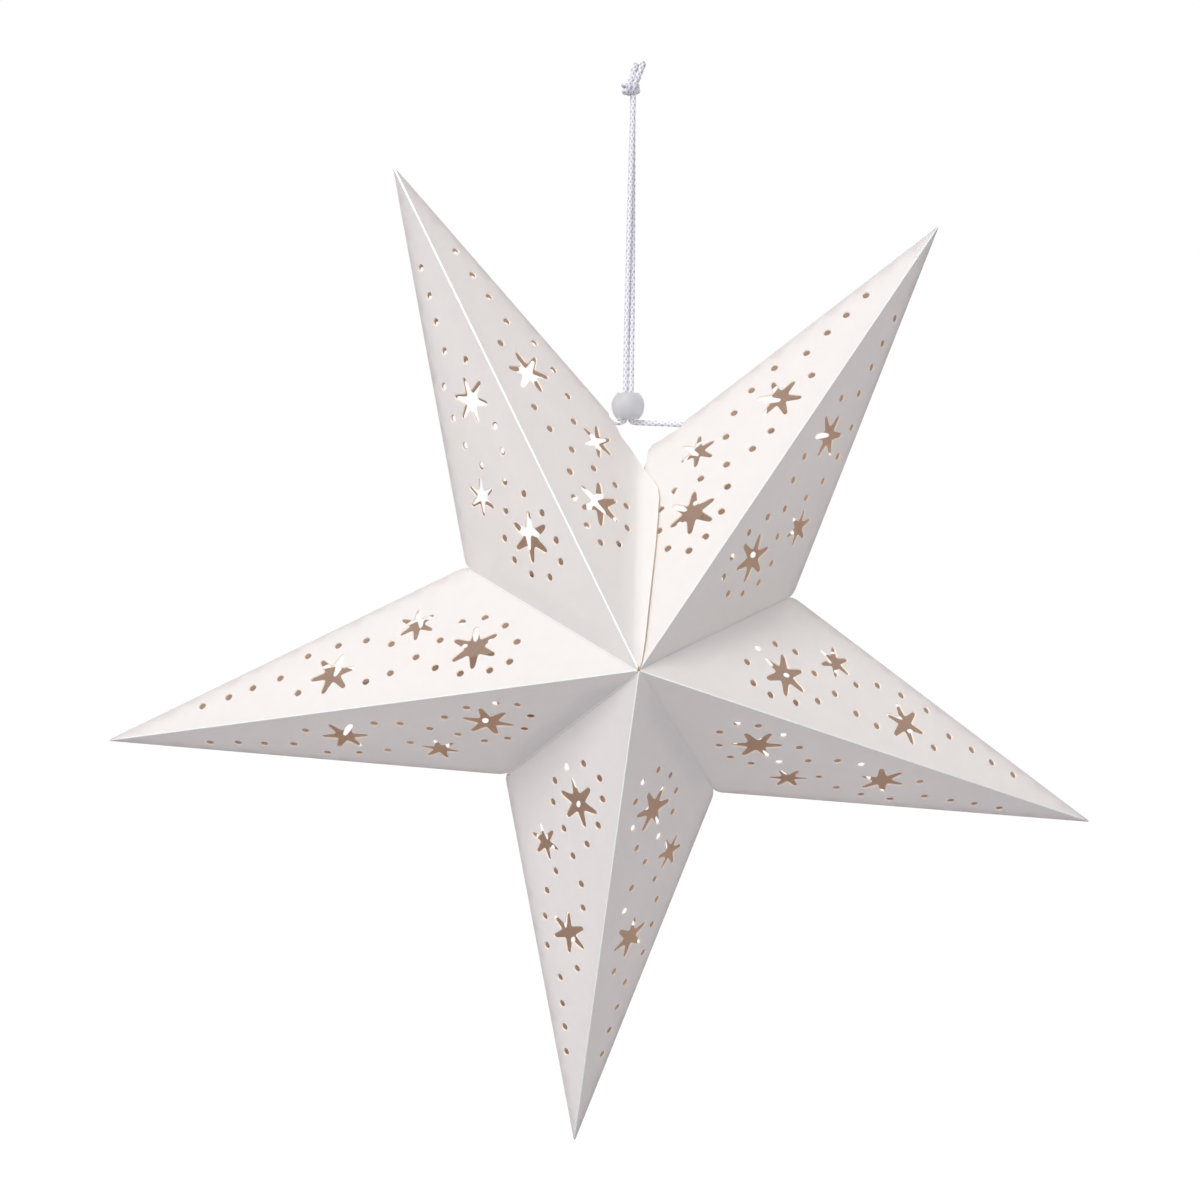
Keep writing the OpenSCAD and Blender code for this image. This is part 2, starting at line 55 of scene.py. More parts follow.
def unit(vector):
    """The same direction with length 1."""
    vector = np.asarray(vector, float)
    return vector / np.linalg.norm(vector, axis=-1, keepdims=True)


def at_angle(degrees, radius):
    """A point in the star's middle plane, from its angle to +X and its distance."""
    angle = np.radians(degrees)
    return np.array([radius * np.cos(angle), 0.0, radius * np.sin(angle)])


def polar(angle, radius):
    """Flat places from angles and distances."""
    return np.stack([radius * np.cos(angle), radius * np.sin(angle)], -1)


def smoothstep(share):
    """0 to 1 with a soft start and end: 3t^2 - 2t^3."""
    share = np.clip(share, 0, 1)
    return share * share * (3 - 2 * share)


def smooth_row(points, parts):
    """Catmull-Rom curve through a row of points, each span cut into equal parts."""
    points = np.asarray(points, float)
    padded = np.vstack([points[:1], points, points[-1:]])
    p, q, r, s = (padded[k:len(padded) - 3 + k][:, None] for k in range(4))
    t = (np.arange(parts) / parts)[None, :, None]
    curve = 0.5 * (2 * q + (r - p) * t + (2 * p - 5 * q + 4 * r - s) * t ** 2
                   + (3 * q - p - 3 * r + s) * t ** 3)
    return np.vstack([curve.reshape(-1, 3), points[-1:]])


def even_row(points, step):
    """The same line with points at equal distances of about one step."""
    points = np.asarray(points, float)
    reach = np.concatenate([[0], np.cumsum(np.linalg.norm(np.diff(points, axis=0), axis=1))])
    wanted = np.linspace(0, reach[-1], max(2, int(round(reach[-1] / step)) + 1))
    return np.stack([np.interp(wanted, reach, points[:, k]) for k in range(3)], 1), wanted


def put(name, data):
    """A new object in the scene."""
    thing = bpy.data.objects.new(name, data)
    bpy.context.scene.collection.objects.link(thing)
    return thing


def new_piece(name, points, faces, materials, smooth_angle=35, face_materials=None):
    """Mesh object at the origin from points in mm and a list of faces."""
    mesh = bpy.data.meshes.new(name)
    mesh.from_pydata((np.asarray(points) * MM).tolist(), [], faces)
    for material in materials:
        mesh.materials.append(material)
    if face_materials is not None:
        mesh.polygons.foreach_set("material_index", np.asarray(face_materials, np.int32))
    mesh.polygons.foreach_set("use_smooth", np.ones(len(mesh.polygons), bool))
    mesh.set_sharp_from_angle(angle=np.radians(smooth_angle))
    mesh.update()
    return put(name, mesh)


def tag(piece, name, values):
    """A measure at each point of a mesh."""
    data = piece.data.attributes.new(name, "FLOAT", "POINT").data
    data.foreach_set("value", values.ravel().astype(np.float32))


def grid_faces(rows, columns, closed_rows=False):
    """Quads between neighbours in rings of points."""
    r = np.arange(rows if closed_rows else rows - 1)[:, None]
    c = np.arange(columns)[None, :]
    r2, c2 = (r + 1) % rows, (c + 1) % columns
    quads = np.stack(np.broadcast_arrays(r * columns + c, r2 * columns + c,
                                         r2 * columns + c2, r * columns + c2), -1)
    return quads.reshape(-1, 4).tolist()


def tube_faces(rows, around):
    """Faces of a tube, with a flat end at both ends."""
    faces = grid_faces(rows, around)
    faces += [list(range(around - 1, -1, -1)), list(range((rows - 1) * around, rows * around))]
    return [face[::-1] for face in faces]


# Camera

def make_camera():
    """A little above the star's middle, looking slightly down and to the right, rolled 0.8 degrees."""
    camera = bpy.data.cameras.new("camera")
    camera.sensor_width, camera.lens = 36, 46.713
    camera.clip_start, camera.clip_end = 0.01, 50
    holder = put("camera", camera)
    level = Vector((0.0661, 0.9924, -0.1036)).to_track_quat("-Z", "Y")
    turn = level @ Quaternion((0, 0, 1), np.radians(0.831))
    holder.matrix_world = Matrix.LocRotScale((-0.0739, -0.8932, -0.1901), turn, None)
    bpy.context.scene.camera = holder


make_camera()


# Material helpers

def srgb(code):
    """Linear colour, with alpha 1, from an sRGB hex value."""
    value = np.array([int(code[k:k + 2], 16) for k in (1, 3, 5)]) / 255
    linear = np.where(value <= 0.04045, value / 12.92, ((value + 0.055) / 1.055) ** 2.4)
    return (*linear.tolist(), 1.0)


def add_node(tree, kind, settings=None, stops=(), **inputs):
    """One node. Stops are the places and hex colours of a colour ramp. An input, named or numbered as
    in0, in1 and so on, is a value or a socket to link."""
    node = tree.nodes.new(kind)
    for key, value in (settings or {}).items():
        setattr(node, key, value)
    for k, (at, code) in enumerate(stops):
        elements = node.color_ramp.elements
        element = elements[k] if k < len(elements) else elements.new(at)
        element.position, element.color = at, srgb(code)
    for key, value in inputs.items():
        numbered = key.startswith("in") and key[2:].isdigit()
        socket = node.inputs[int(key[2:]) if numbered else key.replace("_", " ")]
        if isinstance(value, bpy.types.NodeSocket):
            tree.links.new(value, socket)
        elif value is not None:
            socket.default_value = value
    return node


def new_material(name):
    """A material and its empty node tree."""
    material = bpy.data.materials.new(name)
    material.use_nodes = True
    material.node_tree.nodes.clear()
    return material, material.node_tree


def object_place(tree, stretch=(1, 1, 1)):
    """Object coordinates in metres, stretched along the axes."""
    place = add_node(tree, "ShaderNodeTexCoord").outputs["Object"]
    return add_node(tree, "ShaderNodeMapping", Vector=place, Scale=stretch).outputs["Vector"]


def blots(tree, size_mm, detail=3, stretch=(1, 1, 1)):
    """Cloudy pattern whose blots are about size_mm across."""
    return add_node(tree, "ShaderNodeTexNoise", Vector=object_place(tree, stretch),
                    Scale=1000 / size_mm, Detail=detail).outputs["Fac"]


def clouds(tree, size_mm, dark, light, detail=3):
    """A colour that varies softly between two tones."""
    return add_node(tree, "ShaderNodeValToRGB", stops=((0.3, dark), (0.7, light)),
                    in0=blots(tree, size_mm, detail)).outputs["Color"]


def along_axis(tree, axis, low_mm, high_mm):
    """0 to 1 between two places along an axis."""
    place = add_node(tree, "ShaderNodeSeparateXYZ", Vector=object_place(tree)).outputs[axis]
    return add_node(tree, "ShaderNodeMapRange", Value=place, From_Min=low_mm * MM,
                    From_Max=high_mm * MM).outputs[0]


def surface(material, relief=None, glow=None, **inputs):
    """Ends a material with a Principled surface. Relief is a height from 0 to 1, its depth in mm and
    its strength. Glow is the share and colour of light from behind, and whether the relief bends it."""
    tree = material.node_tree
    normal = None
    if relief:
        height, depth_mm, strength = relief
        normal = add_node(tree, "ShaderNodeBump", Height=height, Distance=depth_mm * MM,
                          Strength=strength).outputs["Normal"]
    last = add_node(tree, "ShaderNodeBsdfPrincipled", Normal=normal, **inputs)
    if glow:
        share, code, is_bent = glow
        through = add_node(tree, "ShaderNodeBsdfTranslucent", Color=srgb(code),
                           Normal=normal if is_bent else None)
        last = add_node(tree, "ShaderNodeMixShader", in0=share, in1=last.outputs[0],
                        in2=through.outputs[0])
    add_node(tree, "ShaderNodeOutputMaterial", Surface=last.outputs[0])
    return material


# Materials

def coated_card():
    """White coated board: matt, a little cloudy, greyed by painted shade towards the outer folds. It lets
    some light through."""
    material, tree = new_material("coated_white_card")
    # real board grain is about 0.1 mm; drawn at 0.5 mm so that it just shows
    relief = (blots(tree, 0.5, 2), 0.03, 0.25)
    # painted shade: grey mixed in towards the outer folds, where the card curls away from the light
    rubbed = add_node(tree, "ShaderNodeAttribute", {"attribute_name": "rubbed"}).outputs["Fac"]
    colour = add_node(tree, "ShaderNodeMix", {"data_type": "RGBA"}, Factor=rubbed,
                      in6=clouds(tree, 9, "#f3f6f7", "#f6f9fa", 4), in7=srgb("#dcdcde")).outputs[2]
    return surface(material, relief, (0.4, "#f7f7f8", True), Base_Color=colour, Roughness=0.58,
                   Specular_IOR_Level=0.35)


def warm_inside_board():
    """Inside of the board: dull, with short fibres, painted brown for the warm light that comes through
    the card and bounces inside the star.
    """
    material, tree = new_material("inside_painted_warm_brown")
    # fibres about 2 mm long and 0.4 mm wide, upright like the board's grain
    fibre = blots(tree, 0.45, stretch=(1, 1, 0.22))
    tone = 0.0
    for source, share in ((fibre, 0.55), (blots(tree, 6), 0.45)):
        tone = add_node(tree, "ShaderNodeMath", {"operation": "MULTIPLY_ADD"}, in0=source, in1=share,
                        in2=tone).outputs[0]
    colour = add_node(tree, "ShaderNodeValToRGB", in0=tone,
                      stops=((0.32, "#ba8e6a"), (0.5, "#c39873"), (0.68, "#cca380"))).outputs["Color"]
    return surface(material, (fibre, 0.05, 0.35), (0.4, "#f3e9e0", True), Base_Color=colour,
                   Roughness=0.85, Specular_IOR_Level=0.2)


def board_core():
    """Cut edge of the board: cream pulp, rough, glowing a little where light soaks into it."""
    material, tree = new_material("cut_board_edge")
    # layers of pulp about 0.1 mm thick, drawn at 0.3 mm
    layers = blots(tree, 0.3, 2)
    colour = add_node(tree, "ShaderNodeValToRGB", in0=layers,
                      stops=((0.3, "#fbeedd"), (0.7, "#fff8ec"))).outputs["Color"]
    return surface(material, (layers, 0.03, 0.3), (0.35, "#fff3e2", True), Base_Color=colour,
                   Roughness=0.9)


def pressed_crease():
    """Painted highlight on point 1's front ridge: glossier than the card and letting no light through, so
    it shows brighter.
    """
    material, tree = new_material("pressed_crease")
    return surface(material, (blots(tree, 0.5, 2), 0.02, 0.2), Roughness=0.45,
                   Base_Color=clouds(tree, 3, "#f2f1f0", "#f7f6f5"))


def painted_fold_shade_board():
    """Grey board on the outer fold creases and on the sheet edges beside the glued valleys: painted shade
    that draws their dark lines.
    """
    material, tree = new_material("rubbed_outer_fold")
    return surface(material, (blots(tree, 0.5, 2), 0.03, 0.3), Roughness=0.6,
                   Base_Color=clouds(tree, 4, "#b4b3b5", "#cbcacb"))


def braided_polyester():
    """White polyester braid with satin plaits, and painted lilac-grey shade where they dip under each
    other.
    """
    material, tree = new_material("braided_polyester")
    # yarns 0.25 mm thick
    yarn = blots(tree, 0.25, 2, (1, 1, 0.3))
    height = add_node(tree, "ShaderNodeAttribute", {"attribute_name": "plait_height"}).outputs["Fac"]
    # painted shade: the plaits darken to lilac-grey, and near black down in their grooves
    colour = add_node(tree, "ShaderNodeValToRGB", in0=height,
                      stops=((0.05, "#55545b"), (0.45, "#a2a0ac"), (0.85, "#dad9df"))).outputs["Color"]
    return surface(material, (yarn, 0.05, 0.3), Base_Color=colour, Roughness=0.55)


def frosted_acrylic():
    """Tumbled grey acrylic: cloudy, half clear, with a satin skin."""
    material, tree = new_material("frosted_grey_acrylic")
    return surface(material, (blots(tree, 0.5, 2), 0.03, 0.25), (0.35, "#e4e4e6", False),
                   Base_Color=clouds(tree, 7, "#d4d4d7", "#dcdcde"), Roughness=0.42, IOR=1.49,
                   Transmission_Weight=0.4, Subsurface_Weight=0.6, Subsurface_Radius=(1, 1, 1),
                   Subsurface_Scale=0.006)


def moulded_plastic(name, dark, light, roughness, grain_mm=0.6, see_through=0.0):
    """Injection-moulded plastic with a fine spark-eroded grain and faint flow clouds."""
    material, tree = new_material(name)
    return surface(material, (blots(tree, grain_mm, 2), 0.04, 0.4), Roughness=roughness, IOR=1.53,
                   Base_Color=clouds(tree, 12, dark, light), Transmission_Weight=see_through)


def plated_metal(name, dark, light, roughness, streak=(1, 1, 0.1)):
    """Drawn or pressed metal with a plated skin: fine streaks that vary the gloss."""
    material, tree = new_material(name)
    lines = blots(tree, 0.5, stretch=streak)
    gloss = add_node(tree, "ShaderNodeMapRange", Value=lines, To_Min=roughness - 0.06,
                     To_Max=roughness + 0.1).outputs[0]
    colour = add_node(tree, "ShaderNodeValToRGB", in0=lines,
                      stops=((0.3, dark), (0.7, light))).outputs["Color"]
    return surface(material, (lines, 0.02, 0.3), Base_Color=colour, Metallic=1.0, Roughness=gloss)


def cell_sleeve(name, code, low_mm, high_mm):
    """Shrunk foil sleeve on a steel can: satin colour between bare nickel ends, with a silver band."""
    material, tree = new_material(name)
    share = along_axis(tree, "Z", low_mm, high_mm)
    colour = add_node(tree, "ShaderNodeValToRGB", in0=share,
                      stops=((0.0, "#c9c9cc"), (0.035, code), (0.72, code), (0.725, "#c9c9cc"),
                             (0.76, "#d8d8d6"), (0.765, code), (0.965, "#c9c9cc")))
    # bare metal at the ends, and a quarter metallic ink between
    metal = add_node(tree, "ShaderNodeValToRGB", in0=share,
                     stops=((0.0, "#ffffff"), (0.035, "#898989"), (0.965, "#ffffff")))
    for bands in (colour, metal):
        bands.color_ramp.interpolation = "CONSTANT"
    scuff = add_node(tree, "ShaderNodeMapRange", Value=blots(tree, 1.5), To_Min=0.22,
                     To_Max=0.4).outputs[0]
    return surface(material, Base_Color=colour.outputs["Color"], Metallic=metal.outputs["Color"],
                   Roughness=scuff)


def solder_mask():
    """Aluminium lamp board under white solder mask: faintly raised tracks."""
    material, tree = new_material("white_solder_mask")
    tracks = add_node(tree, "ShaderNodeTexWave", {"wave_type": "RINGS", "rings_direction": "Z"},
                      Vector=object_place(tree), Scale=55.0, Distortion=0.6).outputs["Fac"]
    colour = add_node(tree, "ShaderNodeValToRGB", in0=tracks,
                      stops=((0.35, "#eceae4"), (0.6, "#f6f5f1"))).outputs["Color"]
    return surface(material, (tracks, 0.05, 0.4), Base_Color=colour, Roughness=0.4)


def led_phosphor(face_mm):
    """White lamp package with a silicone window full of yellow phosphor on its lower face."""
    material, tree = new_material("led_phosphor")
    speck = blots(tree, 0.3, 2)
    window = add_node(tree, "ShaderNodeValToRGB", in0=speck,
                      stops=((0.3, "#e8c65a"), (0.7, "#f4dc86"))).outputs["Color"]
    share = along_axis(tree, "Z", face_mm + 0.02, face_mm + 0.12)
    colour = add_node(tree, "ShaderNodeMix", {"data_type": "RGBA"}, Factor=share, in6=window,
                      in7=srgb("#f2f0e8")).outputs[2]
    return surface(material, (speck, 0.03, 0.3), Roughness=0.35, IOR=1.41, Base_Color=colour)


def wire_sleeves():
    """Two PVC-sleeved wires: red on the front one, black on the back one."""
    material, tree = new_material("pvc_wire_sleeves")
    colour = add_node(tree, "ShaderNodeValToRGB", in0=along_axis(tree, "Y", -0.1, 0.1),
                      stops=((0.0, "#b8342e"), (1.0, "#2c2c2e"))).outputs["Color"]
    return surface(material, (blots(tree, 0.8, 2), 0.03, 0.3), Base_Color=colour, Roughness=0.4,
                   IOR=1.53)


CARD = coated_card()
FOLD_SHADE = painted_fold_shade_board()
CORE = board_core()
RIDGE_HIGHLIGHT = pressed_crease()
WARM_INSIDE = warm_inside_board()
BRAID = braided_polyester()
ACRYLIC = frosted_acrylic()

# Cord

CORD_R = 1.55
STRAND_R = 1.6
BEAD_Z, BEAD_R, BEAD_H, BORE_R = -171.7, 9.4, 15.0, 3.6
BELOW_BEAD = BEAD_Z - BEAD_H / 2
TWIST_END = BEAD_Z + BEAD_H / 2 + 3
LAMP_PIVOT_Z = -257.96
HOOK_R = CORD_R + 1.15
CORNER_LEFT = np.array([-9.466, 0, -178.188])
CORNER_RIGHT = np.array([31.309, 0, -181.612])


def pass_height(corner):
    """Where a strand crosses its corner of the cut: just below the bead."""
    return min(corner[2] - 0.2, BELOW_BEAD - CORD_R - 0.65)


def way_in(hand, corner):
    """Just inside a corner of the cut, where a strand goes into the star."""
    return np.array([corner[0] + hand * 0.5, 0, pass_height(corner) - 1.3])


def strand_route(hand, corner):
    """From the knot down: a slow quarter twist, through the bead, out to the corner and inside."""
    share = np.linspace(0, 1, 61)
    angle = np.radians(90 - 90 * share)
    twist = np.column_stack([polar(angle, hand * STRAND_R), 0.9 + (TWIST_END - 0.9) * share])
    bead_side = np.array([hand * (STRAND_R + 2.8), 0, BELOW_BEAD - CORD_R - 0.35])
    corner_side = np.array([corner[0] - hand * 0.4, 0, pass_height(corner)])
    lower = smooth_row([
        [hand * STRAND_R, 0, TWIST_END - 4],
        [hand * STRAND_R, 0, BELOW_BEAD + 1.5],
        [hand * (STRAND_R + 0.05), 0, BELOW_BEAD + 0.2],
        [hand * (STRAND_R + 0.9), 0, BELOW_BEAD - 1.35],
        bead_side,
        bead_side * 0.65 + corner_side * 0.35,
        bead_side * 0.2 + corner_side * 0.8,
        corner_side], 12)
    return np.vstack([twist, lower, way_in(hand, corner)])


def inner_leg(hand, corner):
    """From a corner down inside the star to the lamp's ring."""
    start = way_in(hand, corner)
    low = np.array([hand * HOOK_R, 0, LAMP_PIVOT_Z + HOOK_R + 8])
    return [start + [hand * 0.45, 0, -0.65], start + [hand * 0.75, 0, -2.6], start + [hand * 0.5, 0, -6],
            corner * 0.8 + low * 0.2, corner * 0.5 + low * 0.5,
            low + [hand * 0.6, 0, 0], [hand * HOOK_R, 0, LAMP_PIVOT_Z + HOOK_R + 2]]


def inner_route():
    """Down from the left corner, under the lamp's ring and up to the right corner."""
    turn = np.linspace(0, np.pi, 25)
    under = np.stack([-HOOK_R * np.cos(turn), 0 * turn,
                      LAMP_PIVOT_Z + HOOK_R - HOOK_R * np.sin(turn)], 1)
    return np.vstack([way_in(-1, CORNER_LEFT), smooth_row(inner_leg(-1, CORNER_LEFT), 12), under,
                      smooth_row(inner_leg(1, CORNER_RIGHT), 12)[::-1], way_in(1, CORNER_RIGHT)])


# braid: its pitch, the depth of its grooves, and how far a plait rises where it crosses another
PITCH, GROOVE, CROSSING = 3.65, 0.30, 0.10


def braid_tube(name, route, radius, around=28, step=0.3, start_round=False, end_round=False,
               reference=(0, 1, 0), painted_brightness=1.0, singed=False):
    """Round braid along a route. Four plaits wind one way (phase p) and four the other (q). Each is a
    rounded ridge across its phase, and crosses over or under the others by the parity of its cell.
    The radius is the higher of the two. Painted shade darkens the grooves, and the whole tube where
    painted_brightness is below 1. A singed end is darker over its last millimetre."""
    route, reach = even_row(route, step)
    way = unit(np.gradient(route, axis=0))
    side = unit(np.cross(way, np.asarray(reference, float)))
    other = np.cross(side, way)
    theta = np.linspace(0, 2 * np.pi, around, endpoint=False)[None, :]
    s = reach[:, None]
    p, q = 4 * theta / (2 * np.pi) - s / PITCH, 4 * theta / (2 * np.pi) + s / PITCH
    fp, fq = p % 1, q % 1
    sign = 1 - 2 * ((np.floor(p) + np.floor(q)) % 2)
    over = GROOVE * (np.sin(np.pi * fp) ** 0.7 - 1) + CROSSING * sign * np.sin(np.pi * fq)
    under = GROOVE * (np.sin(np.pi * fq) ** 0.7 - 1) - CROSSING * sign * np.sin(np.pi * fp)
    height = np.maximum(over, under)
    shape = radius - 0.02 + height * radius / CORD_R
    for is_round, away in ((start_round, reach), (end_round, reach[-1] - reach)):
        if is_round:
            shape = shape * np.sqrt(1 - np.clip(1 - away / radius, 0, 0.98) ** 2)[:, None]
    points = (route[:, None] + shape[..., None] * (np.cos(theta)[..., None] * side[:, None]
                                                   + np.sin(theta)[..., None] * other[:, None]))
    piece = new_piece(name, points.reshape(-1, 3), tube_faces(len(route), around), [BRAID], 60)
    # painted shade: darker down in the grooves, and over the whole tube by painted_brightness
    level = np.clip((height + 0.32) / 0.36, 0, 1) * painted_brightness
    if singed:
        level = level * (1 - 0.75 * np.exp(-(reach[-1] - reach) / 0.8))[:, None]
    tag(piece, "plait_height", level)
    return piece, route, reach[-1]


def joined(name, pieces):
    """Several pieces made one mesh."""
    with bpy.context.temp_override(active_object=pieces[0], selected_editable_objects=pieces):
        bpy.ops.object.join()
    pieces[0].name = pieces[0].data.name = name
    return pieces[0]


def knot_loop(name, middle, half_x, half_y, tilt, bulge=0.0):
    """A turn of the knot: a tilted ellipse whose left end is drawn out by bulge to a blunt corner."""
    turn = np.linspace(0, 2 * np.pi, 90, endpoint=False)
    x = half_x * np.cos(turn) - bulge * np.clip(-np.cos(turn), 0, 1) ** 4
    y = half_y * np.sin(turn)
    route = middle + np.stack([x, y, np.tan(np.radians(tilt)) * x], 1)
    route = np.vstack([route, route[:3]])
    return braid_tube(name, route, CORD_R, around=24, step=0.35, reference=(0, 0, 1))[0]


def make_knot():
    """Overhand knot of the doubled cord, drawn tight: three turns round a core, and two strands over
    its front."""
    pieces = [
        knot_loop("turn_1", (-0.9, 0, 3.0), 3.5, 3.3, 4, 0.5),
        knot_loop("turn_2", (-1.1, 0, 5.9), 3.3, 3.4, -4, 0.9),
        knot_loop("turn_3", (-0.5, 0, 8.3), 2.3, 2.5, 12),
    ]
    for k, shift in enumerate((-1.35, 1.35)):
        over = smooth_row([[1.0 + shift, 0.6, 9.6], [0.5 + shift, -2.6, 8.9], [-0.5 + shift, -4.2, 6.6],
                           [-1.2 + shift, -4.4, 4.0], [-1.5 + shift, -3.0, 1.9],
                           [-1.1 + shift, -0.4, 1.3]], 10)
        # the strands over the knot's front are dimmed by painted shade
        pieces.append(braid_tube(f"over_{k}", over, CORD_R, around=24, step=0.35, start_round=True,
                                 end_round=True, reference=(1, 0, 0), painted_brightness=0.78)[0])
    core = smooth_row([[-0.6, 0, 1.2], [-0.7, 0, 5], [-0.2, 0, 9.4]], 8)
    pieces.append(braid_tube("core", core, 2.7, around=24, step=0.5, start_round=True,
                             end_round=True)[0])
    return joined("cord_knot_turns", pieces)


def make_tails():
    """Two short cut ends above the knot, side by side, leaning to the right."""
    left = [[-0.1, 0.2, 8.6], [-0.1, 0.1, 11], [0.2, 0, 14], [1.0, 0, 16.2], [2.2, 0, 18.2]]
    right = [[1.8, 0, 8.6], [2.6, 0, 11], [3.9, 0, 14.4], [5.0, 0, 17.2], [5.8, 0, 19.4]]
    # the tails are dimmed a little by painted shade
    return joined("cord_tail_ends", [
        braid_tube(name, smooth_row(line, 10), 1.8, end_round=True, painted_brightness=painted_brightness, singed=True)[0]
        for name, line, painted_brightness in (("tail_left", left, 0.92), ("tail_right", right, 0.88))])


def make_cords():
    """The two strands from their corners up to the knot, and the cord inside the star."""
    knot, tails = make_knot(), make_tails()
    for piece, node in ((knot, "cord_knot"), (tails, "cord_tails")):
        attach(piece, "cord")
        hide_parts(node)
    for node, route, far_end, ends in (
            ("cord_left", strand_route(-1, CORNER_LEFT)[::-1], "knot", [knot, tails]),
            ("cord_right", strand_route(1, CORNER_RIGHT)[::-1], "knot", []),
            ("cord_inner", inner_route(), "object", [])):
        strand, route, length = braid_tube(node + "_braid", route, CORD_R)
        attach(strand, "cord")
        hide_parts(node)


make_cords()


# Bead

def make_bead():
    """Round bead with a bore, turned from a profile: an upright ellipse cut flat at top and bottom,
    with small rounds at its four edges."""
    half, round_r, tall = BEAD_H / 2, 0.55, 10.0
    rim = BEAD_R * np.sqrt(1 - (half / tall) ** 2)
    edge = np.arcsin((half - 0.3) / tall)
    arc = np.linspace(-edge, edge, 40)
    outside = np.stack([BEAD_R * np.cos(arc), tall * np.sin(arc)], 1)
    top = [[rim + 0.05, half - 0.1], [rim - 0.2, half - 0.02], [rim - 0.5, half]]
    into = [BORE_R + round_r, half - round_r] + polar(np.linspace(np.pi / 2, np.pi, 6), round_r)
    upper = np.vstack([top, into])
    profile = np.vstack([outside, upper, upper[::-1] * [1, -1]])
    theta = np.linspace(0, 2 * np.pi, 96, endpoint=False)
    points = np.stack([profile[:, None, 0] * np.cos(theta), profile[:, None, 0] * np.sin(theta),
                       profile[:, None, 1] + BEAD_Z + 0 * theta], -1)
    faces = [face[::-1] for face in grid_faces(len(profile), 96, closed_rows=True)]
    bead = new_piece("bead_round", points.reshape(-1, 3), faces, [ACRYLIC], 50)
    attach(bead, "bead")
    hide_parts("bead")


make_bead()

# Star

STAR_RADIUS = 300.0
CORNER_RADIUS = STAR_RADIUS * 0.34
HALF_DEPTH = STAR_RADIUS * 0.32
# ten whole half points would take 12 degrees more than a turn; the open seam takes that up
HALF_SECTOR = (360 + 12) / 10
HANG_TURN = 4.8
SEAM_ANGLE = 90 - HANG_TURN
FIRST_ANGLE = SEAM_ANGLE - 180 + 4 * HALF_SECTOR
CENTRE_Z = -309.9615
FRONT, BACK = -1, 1
CARD_T = 0.65
PUNCH_LEAN = 0.32
# length over which the card is pressed thinner towards a tip, where four facets meet
PRESSED_TIP = 16
# reach of the painted shade in from the outer folds
FOLD_SHADE_REACH = 2.3
ROD_SIDES = 8
# surfaces of a facet, in the order of its materials; the highlight line and the shade lines are painted
OUTSIDE, INSIDE, HIGHLIGHT_LINE, CUT, SHADE_LINE = range(5)
ARMS = (2, 2, 3, 3, 4, 4, 5, 5, 1, 1)


def tip_angle(i):
    """Angle of the tip of half point i, counted from point 2 at the seam."""
    return FIRST_ANGLE - 2 * HALF_SECTOR * (i // 2)


def tip_of(i):
    """Tip of half point i."""
    return at_angle(tip_angle(i), STAR_RADIUS)


def corner_of(i):
    """Inner corner of half point i."""
    return at_angle(tip_angle(i) + (HALF_SECTOR if i % 2 == 0 else -HALF_SECTOR), CORNER_RADIUS)


def seam_point():
    """Where the outer edge of a half point beside the seam meets the seam's plane."""
    across = at_angle(SEAM_ANGLE + 90, 1)
    p, q = tip_of(0), corner_of(0)
    return p + (q - p) * ((p @ across) / ((p - q) @ across))


RIDGE_L = np.hypot(STAR_RADIUS, HALF_DEPTH)
VALLEY_L = np.hypot(CORNER_RADIUS, HALF_DEPTH)
OUTER_L = np.linalg.norm(tip_of(0) - corner_of(0))
FACET_ANGLE = np.arccos((RIDGE_L ** 2 + VALLEY_L ** 2 - OUTER_L ** 2) / (2 * RIDGE_L * VALLEY_L))
SEAM_L = np.linalg.norm(seam_point() - [0, -HALF_DEPTH, 0])
SEAM_EDGE_L = np.linalg.norm(seam_point() - tip_of(0))
SEAM_FACET_ANGLE = np.arccos((RIDGE_L ** 2 + SEAM_L ** 2 - SEAM_EDGE_L ** 2) / (2 * RIDGE_L * SEAM_L))
NOTCH_LENGTH = 28.0


def line_at(angle):
    """Direction of a line at an angle to the ridge, and the direction from it into the facet."""
    return np.array([np.cos(angle), np.sin(angle)]), np.array([np.sin(angle), -np.cos(angle)])


VALLEY_WAY, VALLEY_IN = line_at(FACET_ANGLE)
SEAM_WAY, SEAM_IN = line_at(SEAM_FACET_ANGLE)
CORNER_UV = VALLEY_L * VALLEY_WAY

# Punched pattern, the same in each facet: share along the ridge, share towards the inner corner
# (and for the stars the outer radius and the turn)
STARS = ((0.474, 0.271, 13.4, -10), (0.225, 0.564, 11.1, 28), (0.189, 0.327, 14.4, 29))
DOTS = ((0.763, 0.165), (0.699, 0.204), (0.638, 0.248), (0.571, 0.292), (0.573, 0.165),
        (0.475, 0.435), (0.401, 0.485), (0.343, 0.496), (0.437, 0.182), (0.311, 0.441),
        (0.379, 0.220), (0.302, 0.314), (0.296, 0.215), (0.225, 0.419), (0.147, 0.540),
        (0.101, 0.551), (0.089, 0.468), (0.110, 0.330), (0.168, 0.187), (0.218, 0.143),
        (0.270, 0.149))
DOT_R = 2.3
RAY_TIP_R, RAY_NOTCH, NOTCH_FROM = 0.115, 0.40, np.radians(19)


def facet_place(s, t):
    """A point of a facet from its shares along the ridge and towards the inner corner."""
    return np.array([RIDGE_L * s + CORNER_UV[0] * t, CORNER_UV[1] * t])


def seam_place(along, across):
    """A point of a facet beside the seam, measured along the seam line and across into the facet."""
    return along * SEAM_WAY + across * SEAM_IN


